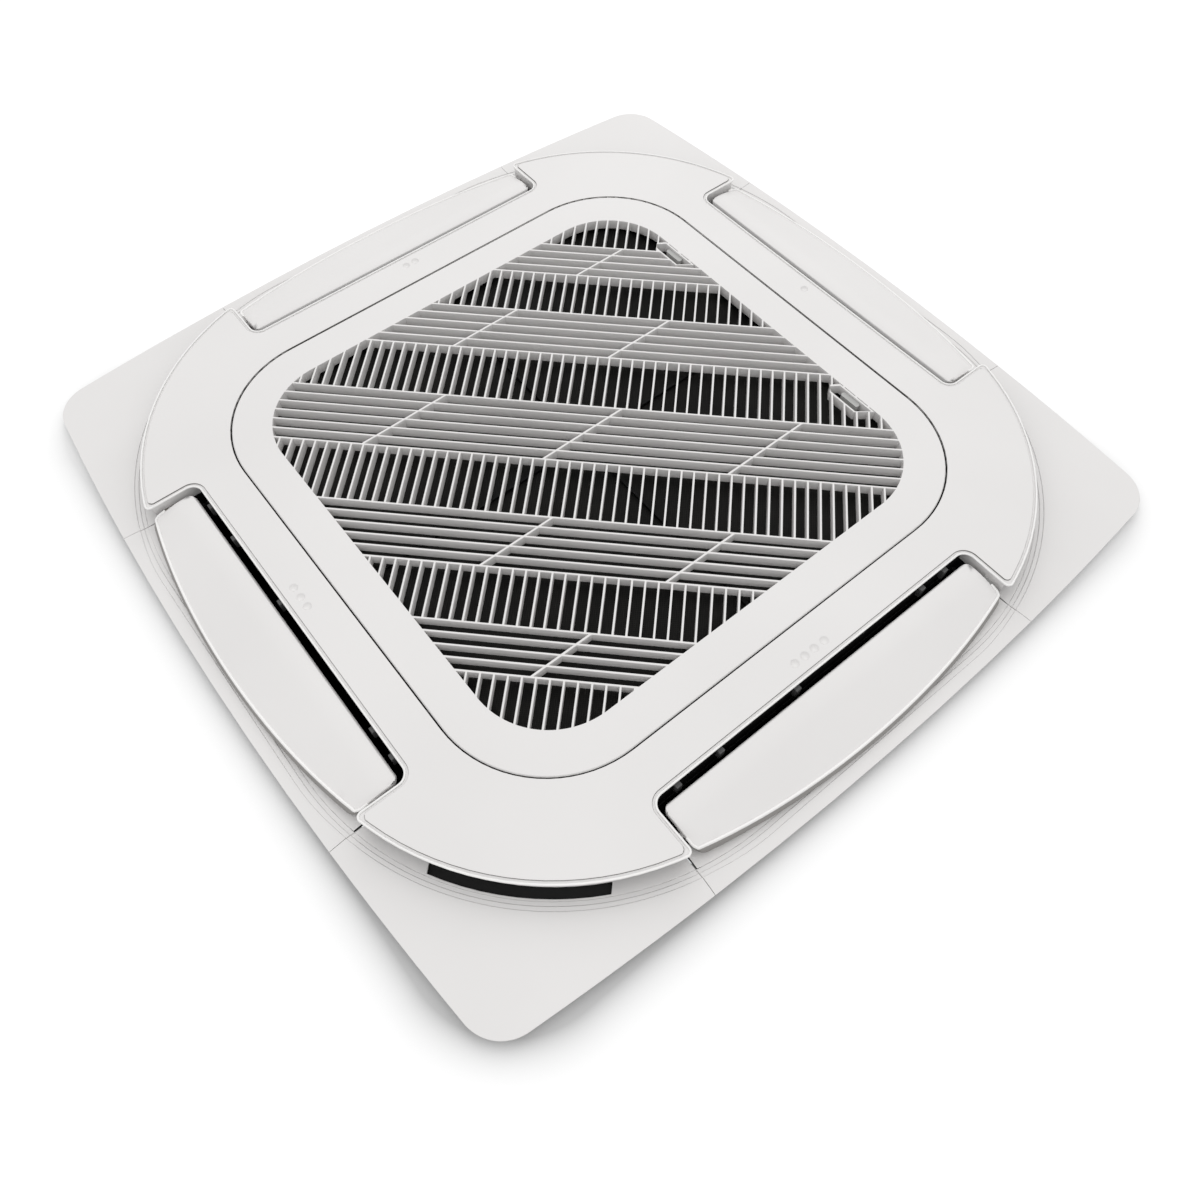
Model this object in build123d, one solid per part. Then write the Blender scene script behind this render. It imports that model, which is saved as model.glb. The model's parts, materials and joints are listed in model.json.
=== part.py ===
from build123d import *
import math
import os

# A four-way ceiling cassette air conditioner, in millimetres, +Z up as it hangs.
# Origin: centre of the four hanger bolt slots, on the underside of the hanger brackets.
# Sides run anticlockwise from -Y: 1 = -Y (latches), 2 = -X, 3 = +Y (hinge), 4 = +X.

# Levels, from the room upwards
face_z = -180.0
plate_drop = 26.0
plate_t = 4.0
ceiling_gap = 12.0
cabinet_h = 240.0
plate_front = face_z + plate_drop
ceiling_z = plate_front + plate_t
cabinet_bottom = ceiling_z + ceiling_gap
cabinet_top = cabinet_bottom + cabinet_h

# Outer plate: a square with gently bulging sides
panel_half = 475.0
panel_side_r = 5500.0
panel_corner_r = 44.5
cover_t = 2.2
cover_gap = 0.3
seam_at = 220.0
seam_gap = 0.5
cover_back = plate_front + cover_t
flange_front = cover_back + cover_gap

# Recess edge on the plate, with three fine terraces outside it
ridge_half = 455.0
ridge_r = 311.0
ridge_steps = 2
ridge_width = 4.5
ridge_rise = 0.7
lip_z = plate_front + ridge_rise * ridge_steps

# Deck: the raised inner face with four lobes
deck_mid = 468.0
deck_corner_at = 144.0
deck_corner_r = 302.0
deck_t = 2.6
deck_lip = 3.5
deck_lip_step = 0.9
slot_inner = 376.5
slot_half = 217.5
slot_corner_r = 13.0
lobe_tip_r = 5.0
skirt_inset = 6.0
wall_t = 2.5
seat = 0.1
liner_end = slot_half + wall_t

# Intake grille and the well that holds it
grille_half = 326.7
grille_r = 130.0
seat_gap = 1.5
frame_t = 2.6
frame_edge_r = 1.2
frame_w = 44.7
opening_half = grille_half - frame_w
opening_r = grille_r - 40.0
well_step = 25.3
well_wall_half = grille_half + well_step
well_r = grille_r + 25.0
fin_t = 2.1
fin_pitch = 13.95
fin_phase = 4.4
bar_rows = ((-40.8, 40.8, 6), (118.0, 186.5, 5), (254.0, 308.0, 4))
fin_depth = 13.0
support_t = 2.4
smallest_cell = 14.0
rim_inset = 5.0
rim_h = 7.0

# Grille hinge, on the +Y side: its axis lies behind the deck, outside the grille
hinge_out = 9.0
hinge_up = 5.0
hinge_pin_r = 1.0
hinge_knuckle_r = 1.9
hinge_at = grille_half - grille_r - 26.7
hinge_arm_w = 6.0
hinge_arm_in = 9.8
hinge_arm_t = 2.0
hinge_lug_w = 4.0
hinge_y = grille_half + hinge_out
hinge_z = face_z + hinge_up
run_gap = 0.06

# Vanes
vane_gap = 9.5
vane_end_gap = 6.0
vane_inner = slot_inner + vane_gap
vane_half = slot_half - vane_end_gap
vane_t = 2.5
vane_flange = 14.0
vane_rim = 6.0
vane_bevel = 3.2
vane_outer_r = 14.0
vane_inner_r = 9.0
vane_wall = 5.0
vane_pin_out = 6.0
pivot_at = 415.0
pivot_up = 18.5
pivot_r = 3.0
bush_r = 5.5
motor_r = 14.0
motor_offset = 9.0
motor_len = 19.0
pivot_z = face_z + pivot_up

# Outlet duct
outlet_outer = 404.0
web_t = 2.5
gasket_t = 6.0
web_top = cabinet_bottom - gasket_t

# Latches on the -Y side of the grille
latch_at = grille_half - grille_r - 39.7
latch_wall = 2.0
support_lines = ((-147.0, 0.0, 147.0), (70.0, 209.0), (207.0,), (-206.0, -72.0), (-207.0,))
latch_pad = 6.5
latch_t = 3.2
latch_low = face_z + frame_t + 0.2
latch_y = opening_half - 1.0 - latch_wall - 0.5 - latch_pad / 2

# Filter
filter_over = 10.0
filter_half = opening_half + filter_over
filter_r = opening_r + 2.0
filter_rail = 7.0
filter_t = 4.0
filter_lift = 0.3

# Cabinet
cabinet_half = 420.0
cabinet_cut = 170.0
sheet_t = 1.2
liner_t = 14.0
span_45 = (2 * cabinet_half - cabinet_cut) / math.sqrt(2)

# Hanger brackets
hanger_x = 780.0 / 2
hanger_y = 680.0 / 2
rod_slot_r = 6.0
rod_slot_len = 40.0
bracket_t = 2.5
bracket_w = 70.0
bracket_flange = 46.0
screw_r = 2.5
screw_head_r = 5.0
screw_head_t = 3.0
screw_at = 388.0

# Fan, motor and inlet
fan_r = 232.0
fan_eye_r = 190.0
fan_blades = 7
fan_collar = 26.0
blade_t = 3.5
shaft_r = 5.0
drive_motor_r = 72.0
drive_motor_h = 62.0
motor_top = cabinet_top - sheet_t - 6.0
motor_bottom = motor_top - drive_motor_h
fan_top = motor_bottom + 28.0
fan_bottom = fan_top - 122.0
hub_tip = motor_bottom - 26.0
hub_r = 60.0
dome_r = 90.0
throat_r = fan_eye_r - 8.0
inlet_r = 302.0
flare_r = fan_r + 4.0
flare_h = 34.0
inlet_t = 2.0

# Coil
coil_outer = 350.0
coil_t = 42.0
coil_r = 88.0
coil_gap_at = 252.0
tube_r = 3.5

# Drain pan
pan_h = 46.0
pan_hole_r = 276.0
trough_depth = 9.0
pan_top = cabinet_bottom + pan_h
pan_floor = pan_top - trough_depth
coil_bottom = pan_floor + 0.3
coil_top = cabinet_top - sheet_t - liner_t - 0.3
plug_at = -292.0
plug_r = 8.0
pump_at = -272.0
float_x = -318.0
float_y = -279.0
float_stem_r = 3.0

# Control box
box_w = 300.0
box_d = 78.0
box_h = 48.0
box_y = box_d / 2 + 29.0 - well_wall_half
box_bottom = face_z + 24.0
box_top = box_bottom + box_h
box_clear = 0.3

# Pipes
gas_r = 15.88 / 2
liquid_r = 9.52 / 2
drain_r = 25.0 / 2
gas_y = -22.0
liquid_y = 26.0
gas_z = cabinet_bottom + 118.0
drain_y = 150.0
drain_z = cabinet_bottom + 175.0
stub_len = 50.0

# Side k and the corner after it are turned by this angle from +X and from +X+Y.
turn_of = {1: 270, 2: 180, 3: 90, 4: 0}


def bulged_square(half, side_r, corner_r):
    rest = side_r - half
    c = (math.sqrt(2 * side_r**2 - rest**2) - rest) / 2
    points = [(c, -c), (c, c), (-c, c), (-c, -c)]
    middles = [(half, 0), (0, half), (-half, 0), (0, -half)]
    arcs = [ThreePointArc(points[i], middles[i], points[(i + 1) % 4]) for i in range(4)]
    face = make_face(Curve() + arcs)
    return fillet(face.vertices(), corner_r)


def rounded(half, radius):
    return RectangleRounded(2 * half, 2 * half, radius)


def outline(inset=0.0):
    return bulged_square(panel_half - inset, panel_side_r - inset, panel_corner_r - inset)


def ridge(grow):
    return rounded(ridge_half + grow, ridge_r + grow)


# The deck's sides are arcs that run tangent into its corner arcs.
deck_reach = deck_mid - deck_corner_at
deck_side_r = (deck_reach**2 + deck_corner_at**2 - deck_corner_r**2) / (2 * (deck_reach - deck_corner_r))


def squircle(inset=0.0):
    return bulged_square(deck_mid - inset, deck_side_r - inset, deck_corner_r - inset)


def slab(face, z0, z1):
    return Pos(0, 0, z0) * extrude(face, z1 - z0, dir=(0, 0, 1))


def around(shape, angle):
    return Rot(0, 0, angle) * shape


def span_x(x0, x1, half_y):
    return Pos((x0 + x1) / 2, 0) * Rectangle(x1 - x0, 2 * half_y)


def span_y(y0, y1, half_x, x=0.0):
    return Pos(x, (y0 + y1) / 2) * Rectangle(2 * half_x, y1 - y0)


def block(x0, x1, y0, y1, z0, z1):
    return Pos((x0 + x1) / 2, (y0 + y1) / 2, (z0 + z1) / 2) * Box(x1 - x0, y1 - y0, z1 - z0)


def rod_y(x, z, radius, y0, y1):
    return Pos(x, (y0 + y1) / 2, z) * Rot(90, 0, 0) * Cylinder(radius, y1 - y0)


def rod_x(y, z, radius, x0, x1):
    return Pos((x0 + x1) / 2, y, z) * Rot(0, 90, 0) * Cylinder(radius, x1 - x0)


def slots(inset):
    reach = 2 * (deck_mid - slot_inner)
    notch = Pos(slot_inner - inset + reach / 2, 0) * RectangleRounded(
        reach, 2 * (slot_half + inset), slot_corner_r + inset
    )
    return [around(notch, angle) for angle in turn_of.values()]


def deck_plan(inset):
    plan = squircle(inset) - slots(inset)
    end = slot_half + inset
    tips = [
        v
        for v in plan.vertices()
        if abs(min(abs(v.X), abs(v.Y)) - end) < 0.1 and max(abs(v.X), abs(v.Y)) > 420
    ]
    return fillet(tips, lobe_tip_r)


# Outer plate

def terraces(back):
    outer = outline()
    levels = [plate_front + ridge_rise * (ridge_steps - i) for i in range(ridge_steps + 1)]
    body = slab(outer - ridge(0), levels[0], back)
    for i in range(ridge_steps):
        body += slab(outer - ridge(ridge_width * (i + 1)), levels[i + 1], levels[i])
    return body


def corner_cover(k):
    start = seam_at + seam_gap / 2
    reach = panel_half + 10 - start
    middle = start + reach / 2
    quarter = Pos(middle, middle, (plate_front + cover_back) / 2) * Box(reach, reach, 3 * cover_t)
    cover = terraces(cover_back) & quarter
    return around(cover, turn_of[k])


def quarter(start):
    # The corner region beyond two lines at this distance from the middle.
    reach = ridge_half + 10 - start
    return Pos(start + reach / 2, start + reach / 2) * Rectangle(reach, reach)


def panel_base():
    # The plate: a flat flange under the covers, with the terraces standing between them.
    base = slab(outline(0.8) - ridge(0), flange_front, ceiling_z)
    base += terraces(flange_front) & Box(4 * panel_half, 2 * seam_at - seam_gap, 4 * abs(face_z))
    base += terraces(flange_front) & Box(2 * seam_at - seam_gap, 4 * panel_half, 4 * abs(face_z))
    # Corner channels: a floor outside the skirt, with an outlet in each middle third.
    floor = (ridge(0) - squircle(skirt_inset - seat)) & quarter(liner_end)
    outlet_band = (ridge(-2) - squircle(skirt_inset - 2)) & (
        Pos(deck_corner_at, deck_corner_at) * Rot(0, 0, 45) * Pos(250, 0) * Rectangle(200, 170)
    )
    corner = slab(floor - outlet_band, lip_z, ceiling_z)
    # Screw bosses under the corner covers.
    boss = Pos(screw_at, screw_at, (flange_front + web_top) / 2) * Box(17, 17, web_top - flange_front)
    bore = RegularPolygon(screw_r + 0.1, 6, False)
    hole = Pos(screw_at, screw_at, 0) * slab(bore, flange_front - 1, web_top + 1)
    hole += Pos(screw_at, screw_at, 0) * slab(
        RegularPolygon(screw_head_r + 0.2, 6, False), flange_front - 1, flange_front + screw_head_t + 0.1
    )
    for angle in turn_of.values():
        base += around(corner + boss, angle)
        base -= around(hole, angle)
    return base


def outlet_liners():
    # Four ducts: an inner wall, two end walls and a curved outer wall that meets the plate.
    with_z = [(outlet_outer, web_top), (outlet_outer + wall_t, web_top)]
    low = (ridge_half - seat, lip_z)
    high = (ridge_half - seat, ceiling_z)
    inner = ThreePointArc(with_z[0], (outlet_outer + 14, web_top - 6.6), low)
    outer = ThreePointArc(with_z[1], (outlet_outer + 17, web_top - 4.0), high)
    sides = [Line(low, high), Line(with_z[0], with_z[1])]
    profile = make_face(Curve() + [inner, outer] + sides)
    scoop = Pos(0, slot_half + 1, 0) * extrude(Plane.XZ * profile, 2 * (slot_half + 1), dir=(0, -1, 0))
    inner_x = slot_inner - wall_t
    scoop = scoop & slab(ridge(-seat), lip_z - 1, web_top + 1)
    ends = span_x(inner_x, deck_mid, liner_end) - span_x(inner_x, deck_mid, slot_half)
    ends = ends & squircle(skirt_inset)
    walls = slab(span_x(inner_x, slot_inner, liner_end) + ends, face_z + deck_t, web_top)
    # One end turns in a square bush; at the other a window lets the pin into its motor.
    window = block(
        pivot_at - bush_r, pivot_at + bush_r, -liner_end - 5, liner_end + 5, pivot_z - bush_r, pivot_z + bush_r
    )
    duct = walls - window + scoop
    return Compound(children=[around(duct, angle) for angle in turn_of.values()])


def well_frame():
    # The web at the ceiling side, the wall round the intake well and the skirt behind the deck.
    outer_wall = rounded(outlet_outer + wall_t, 170)
    well_in = rounded(well_wall_half, well_r)
    well_out = rounded(well_wall_half + wall_t, well_r + wall_t)
    cut = span_x(slot_inner - wall_t - seat, deck_mid, liner_end + seat)
    cuts = [around(cut, angle) for angle in turn_of.values()]
    web = (outer_wall & squircle(skirt_inset + wall_t / 2)) - well_in - cuts
    body = slab(web, web_top - web_t, web_top)
    body += slab(well_out - well_in, face_z + deck_t, web_top)
    skirt = (squircle(skirt_inset) - squircle(skirt_inset + wall_t)) & quarter(liner_end + seat)
    # A shelf of the web over each corner outlet.
    shelf_plan = (ridge(-seat) - squircle(skirt_inset + wall_t / 2)) & quarter(liner_end + seat)
    shelf = slab(shelf_plan, web_top - web_t, web_top)
    for angle in turn_of.values():
        body += around(slab(skirt, face_z + deck_t, web_top) + shelf, angle)
    # Pairs of hinge lugs on the +Y side.
    lug_at = (hinge_arm_w + hinge_lug_w) / 2 + 0.5
    for x in (-hinge_at, hinge_at):
        body += hinge_lug(x - lug_at)
        body += hinge_lug(x + lug_at)
    return body


def hinge_lug(x):
    low = x - hinge_lug_w / 2
    high = x + hinge_lug_w / 2
    arm = block(low, high, hinge_y, well_wall_half + 1, hinge_z - hinge_knuckle_r, hinge_z + hinge_knuckle_r)
    eye = rod_x(hinge_y, hinge_z, hinge_knuckle_r, low, high)
    return arm + eye - rod_x(hinge_y, hinge_z, hinge_pin_r, low - 1, high + 1)


def hinge_arm(x):
    # A gooseneck that keeps clear of the deck's inner edge as the grille swings down.
    outer_r = hinge_arm_in + hinge_arm_t
    bow = Circle(outer_r) - Circle(hinge_arm_in)
    bow = bow & (Pos(-outer_r, outer_r / 2) * Rectangle(2 * outer_r, outer_r))
    foot_h = hinge_up - frame_t + 1
    foot = Pos(-hinge_arm_in - hinge_arm_t / 2, -foot_h / 2) * Rectangle(hinge_arm_t, foot_h)
    spoke = Pos(-hinge_arm_t / 2, (hinge_arm_in + 1) / 2) * Rectangle(hinge_arm_t, hinge_arm_in + 1)
    side = bow + foot + spoke + Circle(hinge_knuckle_r) - Circle(hinge_pin_r + run_gap)
    arm = extrude(Plane.YZ * side, hinge_arm_w)
    return Pos(x - hinge_arm_w / 2, hinge_y, hinge_z) * arm


def panel_deck():
    well = rounded(grille_half + seat_gap, grille_r + seat_gap)
    lip = deck_plan(deck_lip) - well
    deck = slab(lip, face_z, face_z + deck_lip_step)
    return deck + slab(deck_plan(0) - well, face_z + deck_lip_step, face_z + deck_t)


# Intake grille


def band_edges():
    # Bar positions across the T-B diagonal, from the middle outwards: groups of bars
    # stand between bands of upright fins.
    return [[low + (high - low) / gaps * i for i in range(gaps + 1)] for low, high, gaps in bar_rows]


def grille_cells():
    mid, second, third = band_edges()
    opening = rounded(opening_half, opening_r)
    reach = 3 * opening_half
    cells = []
    groups = [mid, second, third, [-t for t in second][::-1], [-t for t in third][::-1]]
    for group, lines in zip(groups, support_lines):
        for low, high in zip(group, group[1:]):
            t = (low + high) / 2
            # A support on the line X = c crosses this gap at s = c * sqrt(2) - t.
            cuts = [-reach / 2] + [c * math.sqrt(2) - t for c in lines] + [reach / 2]
            lean = (high - low - fin_t) / 2
            half_t = support_t / math.sqrt(2)
            for start, end in zip(cuts, cuts[1:]):
                x0, x1 = start + half_t, end - half_t
                corners = [(x0 + lean, -lean), (x1 + lean, -lean), (x1 - lean, lean), (x0 - lean, lean)]
                cells.append(Pos(0, t) * make_face(Polyline(*corners, close=True)))
    fin_bands = [(mid[-1], second[0]), (second[-1], third[0]), (third[-1], opening_half * 1.42)]
    fin_bands += [(-high, -low) for low, high in fin_bands]
    count = int(opening_half * 1.42 / fin_pitch) + 1
    for low, high in fin_bands:
        for i in range(-count, count + 1):
            x = fin_phase + fin_pitch * (i + 0.5)
            cells.append(Pos(x, (low + high) / 2) * Rectangle(fin_pitch - fin_t, high - low - fin_t))
    # Turned so that the bars run along the diagonal; t grows towards +X+Y.
    field = opening - [latch_pocket(sign * latch_at, 0) for sign in (-1, 1)]
    kept = []
    for cell in cells:
        piece = (Rot(0, 0, -45) * cell) & field
        kept += [face for face in piece.faces() if face.area > smallest_cell]
    return kept


def latch_pocket(x, inset):
    y0 = opening_half - 1.0 - inset
    y1 = opening_half - 19.5 + inset
    points = [
        (x - 31 + inset, -y0 + 10),
        (x - 23, -y1),
        (x + 16, -y1),
        (x + 31 - 1.5 * inset, -y0),
        (x - 24 + inset, -y0),
    ]
    return make_face(Polyline(*points, close=True))


def intake_grille():
    plan = rounded(grille_half, grille_r)
    cells = grille_cells()
    frame = plan - rounded(opening_half + 3, opening_r + 3)
    plate = slab(frame, face_z, face_z + frame_t)
    lattice = rounded(opening_half + 3, opening_r + 3) - cells
    lattice -= [latch_pocket(sign * latch_at, latch_wall) for sign in (-1, 1)]
    rounded_edge = [
        e
        for e in plate.edges()
        if abs((e @ 0.5).Z - face_z) < 0.01 and max(abs((e @ 0.5).X), abs((e @ 0.5).Y)) > opening_half + 4
    ]
    body = chamfer(rounded_edge, frame_edge_r) + slab(lattice, face_z, face_z + fin_depth)
    rim = rounded(grille_half - rim_inset, grille_r - rim_inset) - rounded(
        grille_half - rim_inset - 2, grille_r - rim_inset - 2
    )
    rim_body = slab(rim, face_z + frame_t, face_z + frame_t + rim_h)
    body += rim_body
    for x in (-hinge_at, hinge_at):
        body += hinge_arm(x)
    # Windows that let the latch tongues through the pocket wall and the rim.
    for sign in (-1, 1):
        x = sign * latch_at
        way_top = latch_low + latch_t + 0.3
        body -= block(x - 10.3, x + 10.3, -grille_half - 1, -latch_y, face_z + frame_t, way_top)
    return body


def grille_latch(x):
    # A finger pad in the pocket and a tongue that runs out over the frame to the deck's edge.
    pad = Pos(x - 1, -latch_y) * RectangleRounded(26, latch_pad, 2.5)
    tongue = span_y(-(grille_half + seat_gap - 0.5), -latch_y, 10.0, x)
    body = slab(pad, latch_low, face_z + fin_depth - 2)
    return body + slab(tongue, latch_low, latch_low + latch_t)


filter_z0 = face_z + fin_depth + filter_lift


def filter_frame():
    outer = rounded(filter_half, filter_r)
    inner = rounded(filter_half - filter_rail, filter_r - filter_rail)
    ribs = Rectangle(2 * filter_half - filter_rail, 4) + Rectangle(4, 2 * filter_half - filter_rail)
    sketch = (outer - inner) + (ribs & outer)
    return slab(sketch, filter_z0, filter_z0 + filter_t)


def filter_mesh():
    return slab(rounded(filter_half - 2, filter_r - 2), filter_z0 + filter_t, filter_z0 + filter_t + 0.8)


def hinge_pins():
    half = hinge_arm_w / 2 + 0.5 + hinge_lug_w
    pins = [rod_x(hinge_y, hinge_z, hinge_pin_r, x - half, x + half) for x in (-hinge_at, hinge_at)]
    return Compound(children=pins)


# Vanes


def vane(k):
    reach = 200.0
    plan = squircle() & (Pos(vane_inner + reach / 2, 0) * Rectangle(reach, 2 * vane_half))
    body = slab(plan, face_z, face_z + vane_flange)
    level = [e for e in body.edges() if abs(e.center().Z - face_z) < 0.01]
    arc = [e for e in level if e.center().X > pivot_at + 30]
    body = chamfer(arc, vane_bevel)
    level = [e for e in body.edges() if abs(e.center().Z - face_z) < 0.01]
    straight = [e for e in level if abs(e.center().X - vane_inner) < 0.1]
    body = chamfer(straight, vane_t - 0.6)
    upright = [e for e in body.edges().filter_by(Axis.Z) if e.length > 5]
    outer = [e for e in upright if e.center().X > pivot_at]
    body = fillet(outer, vane_outer_r)
    inner = [e for e in body.edges().filter_by(Axis.Z) if e.center().X < vane_inner + 1]
    body = fillet(inner, vane_inner_r)
    pocket_plan = squircle(vane_t + 0.6) & (
        Pos(vane_inner + vane_t + reach / 2, 0)
        * RectangleRounded(reach, 2 * (vane_half - vane_t), vane_inner_r - vane_t)
    )
    corners = [v for v in pocket_plan.vertices() if v.X > pivot_at and abs(v.Y) > vane_half - vane_t - 1]
    pocket_plan = fillet(corners, vane_outer_r - vane_t)
    body -= slab(pocket_plan, face_z + vane_t, face_z + vane_flange + 1)
    # The end walls and the outer rim fall away from the pivot towards the outer edge.
    top = face_z + vane_flange
    slope = make_face(
        Polyline(
            (pivot_at + 8, top + 1),
            (deck_mid + 5, top + 1),
            (deck_mid + 5, face_z + vane_rim),
            (deck_mid - 16, face_z + vane_rim),
            close=True,
        )
    )
    body -= Pos(0, vane_half + 5, 0) * extrude(Plane.XZ * slope, 2 * vane_half + 10, dir=(0, -1, 0))
    # Ribs across the back, and an ear with a pin at each end.
    for y in (-100, 0, 100):
        body += block(vane_inner + 1, deck_mid - 18, y - 1, y + 1, face_z + vane_t - 0.5, face_z + vane_rim)
    for side in (-1, 1):
        low, high = sorted((side * (vane_half - vane_wall), side * (vane_half - 0.8)))
        ear = block(pivot_at - 6, pivot_at + 6, low, high, face_z + vane_t - 0.5, pivot_z + pivot_r + 2)
        near, far = sorted((side * (vane_half - 2.0), side * (slot_half + wall_t + vane_pin_out)))
        body += ear + rod_y(pivot_at, pivot_z, pivot_r, near, far)
    return around(body, turn_of[k])


def vane_bushes():
    bushes = []
    far = slot_half + wall_t
    for angle in turn_of.values():
        low = pivot_z - bush_r
        ring = block(pivot_at - bush_r, pivot_at + bush_r, -far - 2, -slot_half + 3, low, low + 2 * bush_r)
        ring -= rod_y(pivot_at, pivot_z, pivot_r + run_gap, -far - 5, 0)
        bushes.append(around(ring, angle))
    return Compound(children=bushes)


def vane_motor(k):
    near = slot_half + wall_t
    can = rod_y(pivot_at - motor_offset, pivot_z, motor_r, near, near + motor_len)
    middle = pivot_at - motor_offset
    ears = block(middle - motor_r - 6, middle + motor_r + 4, near, near + 1.5, pivot_z - 4, pivot_z + 4)
    body = can + ears
    body -= rod_y(pivot_at, pivot_z, pivot_r + run_gap, near - 1, near + vane_pin_out + 1)
    return around(body, turn_of[k])


# Seals and panel screws


def sealing_gaskets():
    strips = []
    outer = span_x(slot_inner - 8, outlet_outer + 9, slot_half + 9)
    inner = span_x(slot_inner, outlet_outer, slot_half)
    for angle in turn_of.values():
        strips.append(around(slab(outer - inner, web_top, cabinet_bottom), angle))
    return Compound(children=strips)


def panel_screws():
    screws = []
    for angle in turn_of.values():
        head = Pos(screw_at, screw_at, 0) * slab(
            RegularPolygon(screw_head_r, 6, False), flange_front + 0.1, flange_front + screw_head_t + 0.1
        )
        shank = slab(Circle(screw_r), flange_front + screw_head_t, cabinet_bottom + 4)
        shank = Pos(screw_at, screw_at, 0) * shank
        screws.append(around(head + shank, angle))
    return Compound(children=screws)


def panel_fixing_plates():
    plates = []
    reach = screw_at * math.sqrt(2) + 14
    for angle in turn_of.values():
        tab = block(span_45, reach, -16, 16, cabinet_bottom, cabinet_bottom + bracket_t)
        lug = block(span_45, span_45 + bracket_t, -30, 30, cabinet_bottom, cabinet_bottom + 40)
        start = screw_at * math.sqrt(2) - screw_r
        slot = block(start, reach + 1, -screw_r, screw_r, cabinet_bottom - 1, cabinet_bottom + 9)
        plate = tab + lug - slot
        plates.append(around(Rot(0, 0, 45) * plate, angle))
    return Compound(children=plates)


# Cabinet


def octagon(inset):
    half = cabinet_half - inset
    cut = cabinet_cut - inset * (2 - math.sqrt(2))
    points = []
    for angle in (0, 90, 180, 270):
        for point in ((half, half - cut), (half - cut, half)):
            points.append(Vector(*point).rotate(Axis.Z, angle))
    return make_face(Polyline(*points, close=True))


def cabinet_shell():
    body = slab(octagon(0), cabinet_bottom, cabinet_top)
    body -= slab(octagon(sheet_t), cabinet_bottom - 1, cabinet_top - sheet_t)
    # Pipe window and drain window in the -X wall.
    body -= block(-cabinet_half - 5, -cabinet_half + 5, -70, 70, gas_z - 40, gas_z + 40)
    body -= rod_x(drain_y, drain_z, drain_r + 3, -cabinet_half - 5, -cabinet_half + 5)
    return body


def insulation_liner():
    outer = octagon(sheet_t)
    body = slab(outer, cabinet_bottom, cabinet_top - sheet_t)
    body -= slab(octagon(sheet_t + liner_t), cabinet_bottom - 1, cabinet_top - sheet_t - liner_t)
    body -= block(-cabinet_half, -cabinet_half + 40, -70, 70, gas_z - 40, gas_z + 40)
    body -= rod_x(drain_y, drain_z, drain_r + 3, -cabinet_half - 5, -cabinet_half + 40)
    body -= Pos(0, 0, cabinet_top) * Cylinder(drive_motor_r + 24, 2 * liner_t + 6)
    return body


def hanger_bracket(k):
    # Folded strap on the cut corner, slotted for the hanger rod.
    sx, sy = {1: (1, -1), 2: (-1, -1), 3: (-1, 1), 4: (1, 1)}[k]
    bolt = Vector(sx * hanger_x, sy * hanger_y)
    turn = math.degrees(math.atan2(sy, sx))
    local = Rot(0, 0, -turn) * Pos(bolt)
    along = local.position.X
    aside = local.position.Y
    reach = along + 26
    tab = block(span_45, reach, aside - bracket_w / 2, aside + bracket_w / 2, 0, bracket_t)
    half = bracket_w / 2
    flange = block(span_45, span_45 + bracket_t, aside - half, aside + half, 0, bracket_flange)
    cheeks = [
        block(span_45, reach - 16, aside + s * (bracket_w / 2 - bracket_t / 2) - bracket_t / 2,
              aside + s * (bracket_w / 2 - bracket_t / 2) + bracket_t / 2, 0, 14)
        for s in (-1, 1)
    ]
    body = Rot(0, 0, turn) * (tab + flange + cheeks)
    slot = SlotOverall(rod_slot_len, 2 * rod_slot_r)
    return body - Pos(bolt) * slab(slot, -5, bracket_t + 5)


# Fan

def fan_motor():
    can = Pos(0, 0, (motor_top + motor_bottom) / 2) * Cylinder(drive_motor_r, drive_motor_h)
    can = chamfer(can.edges().filter_by(GeomType.CIRCLE).sort_by(Axis.Z)[0], 8)
    feet = [
        Rot(0, 0, 120 * i + 30)
        * block(drive_motor_r - 8, drive_motor_r + 18, -11, 11, motor_top - 5, motor_top - 2)
        for i in range(3)
    ]
    body = can + feet
    return body - Pos(0, 0, motor_bottom) * Cylinder(shaft_r + run_gap, 60)


def motor_mounts():
    mounts = []
    for i in range(3):
        at = Rot(0, 0, 120 * i + 30) * Pos(drive_motor_r + 10, 0, 0)
        stack = at * slab(Rectangle(16, 16), motor_top - 2, cabinet_top - sheet_t)
        mounts.append(stack)
    return Compound(children=mounts)


def fan_shaft():
    low = hub_tip - 14
    high = motor_bottom + 26
    return Pos(0, 0, (low + high) / 2) * Cylinder(shaft_r, high - low)


def turbo_fan():
    # Dished hub round the motor, back plate, shroud ring and backward-leaning blades.
    t = blade_t
    hub = make_face(
        Polyline(
            (shaft_r, hub_tip),
            (hub_r + t, hub_tip),
            (dome_r + t, fan_top),
            (fan_r, fan_top),
            (fan_r, fan_top + t),
            (dome_r, fan_top + t),
            (hub_r, hub_tip + 1.5 * t),
            (shaft_r, hub_tip + 1.5 * t),
            close=True,
        )
    )
    body = revolve(Plane.XZ * hub, Axis.Z)
    shroud_z = fan_bottom + fan_collar
    body += slab(Circle(fan_eye_r + t) - Circle(fan_eye_r), fan_bottom, shroud_z)
    body += slab(Circle(fan_r) - Circle(fan_eye_r), shroud_z, shroud_z + t)
    root = (0, fan_r - 94)
    bend = (53, fan_r - 55)
    tip = (96, fan_r - 21)
    back = ((tip[0] - t, tip[1] + 1), (bend[0] - t, bend[1] + 1), (0, root[1] + t))
    blade = make_face(Polyline(root, bend, tip, *back, close=True))
    tall = slab(blade, shroud_z + 1, fan_top + 1)
    for i in range(fan_blades):
        body += around(tall, 360 / fan_blades * i)
    return body


def fan_nut():
    nut = slab(RegularPolygon(9, 6), hub_tip - 8, hub_tip) + slab(Circle(13), hub_tip - 1.5, hub_tip)
    return nut - Pos(0, 0, hub_tip) * Cylinder(shaft_r, 40)


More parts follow.
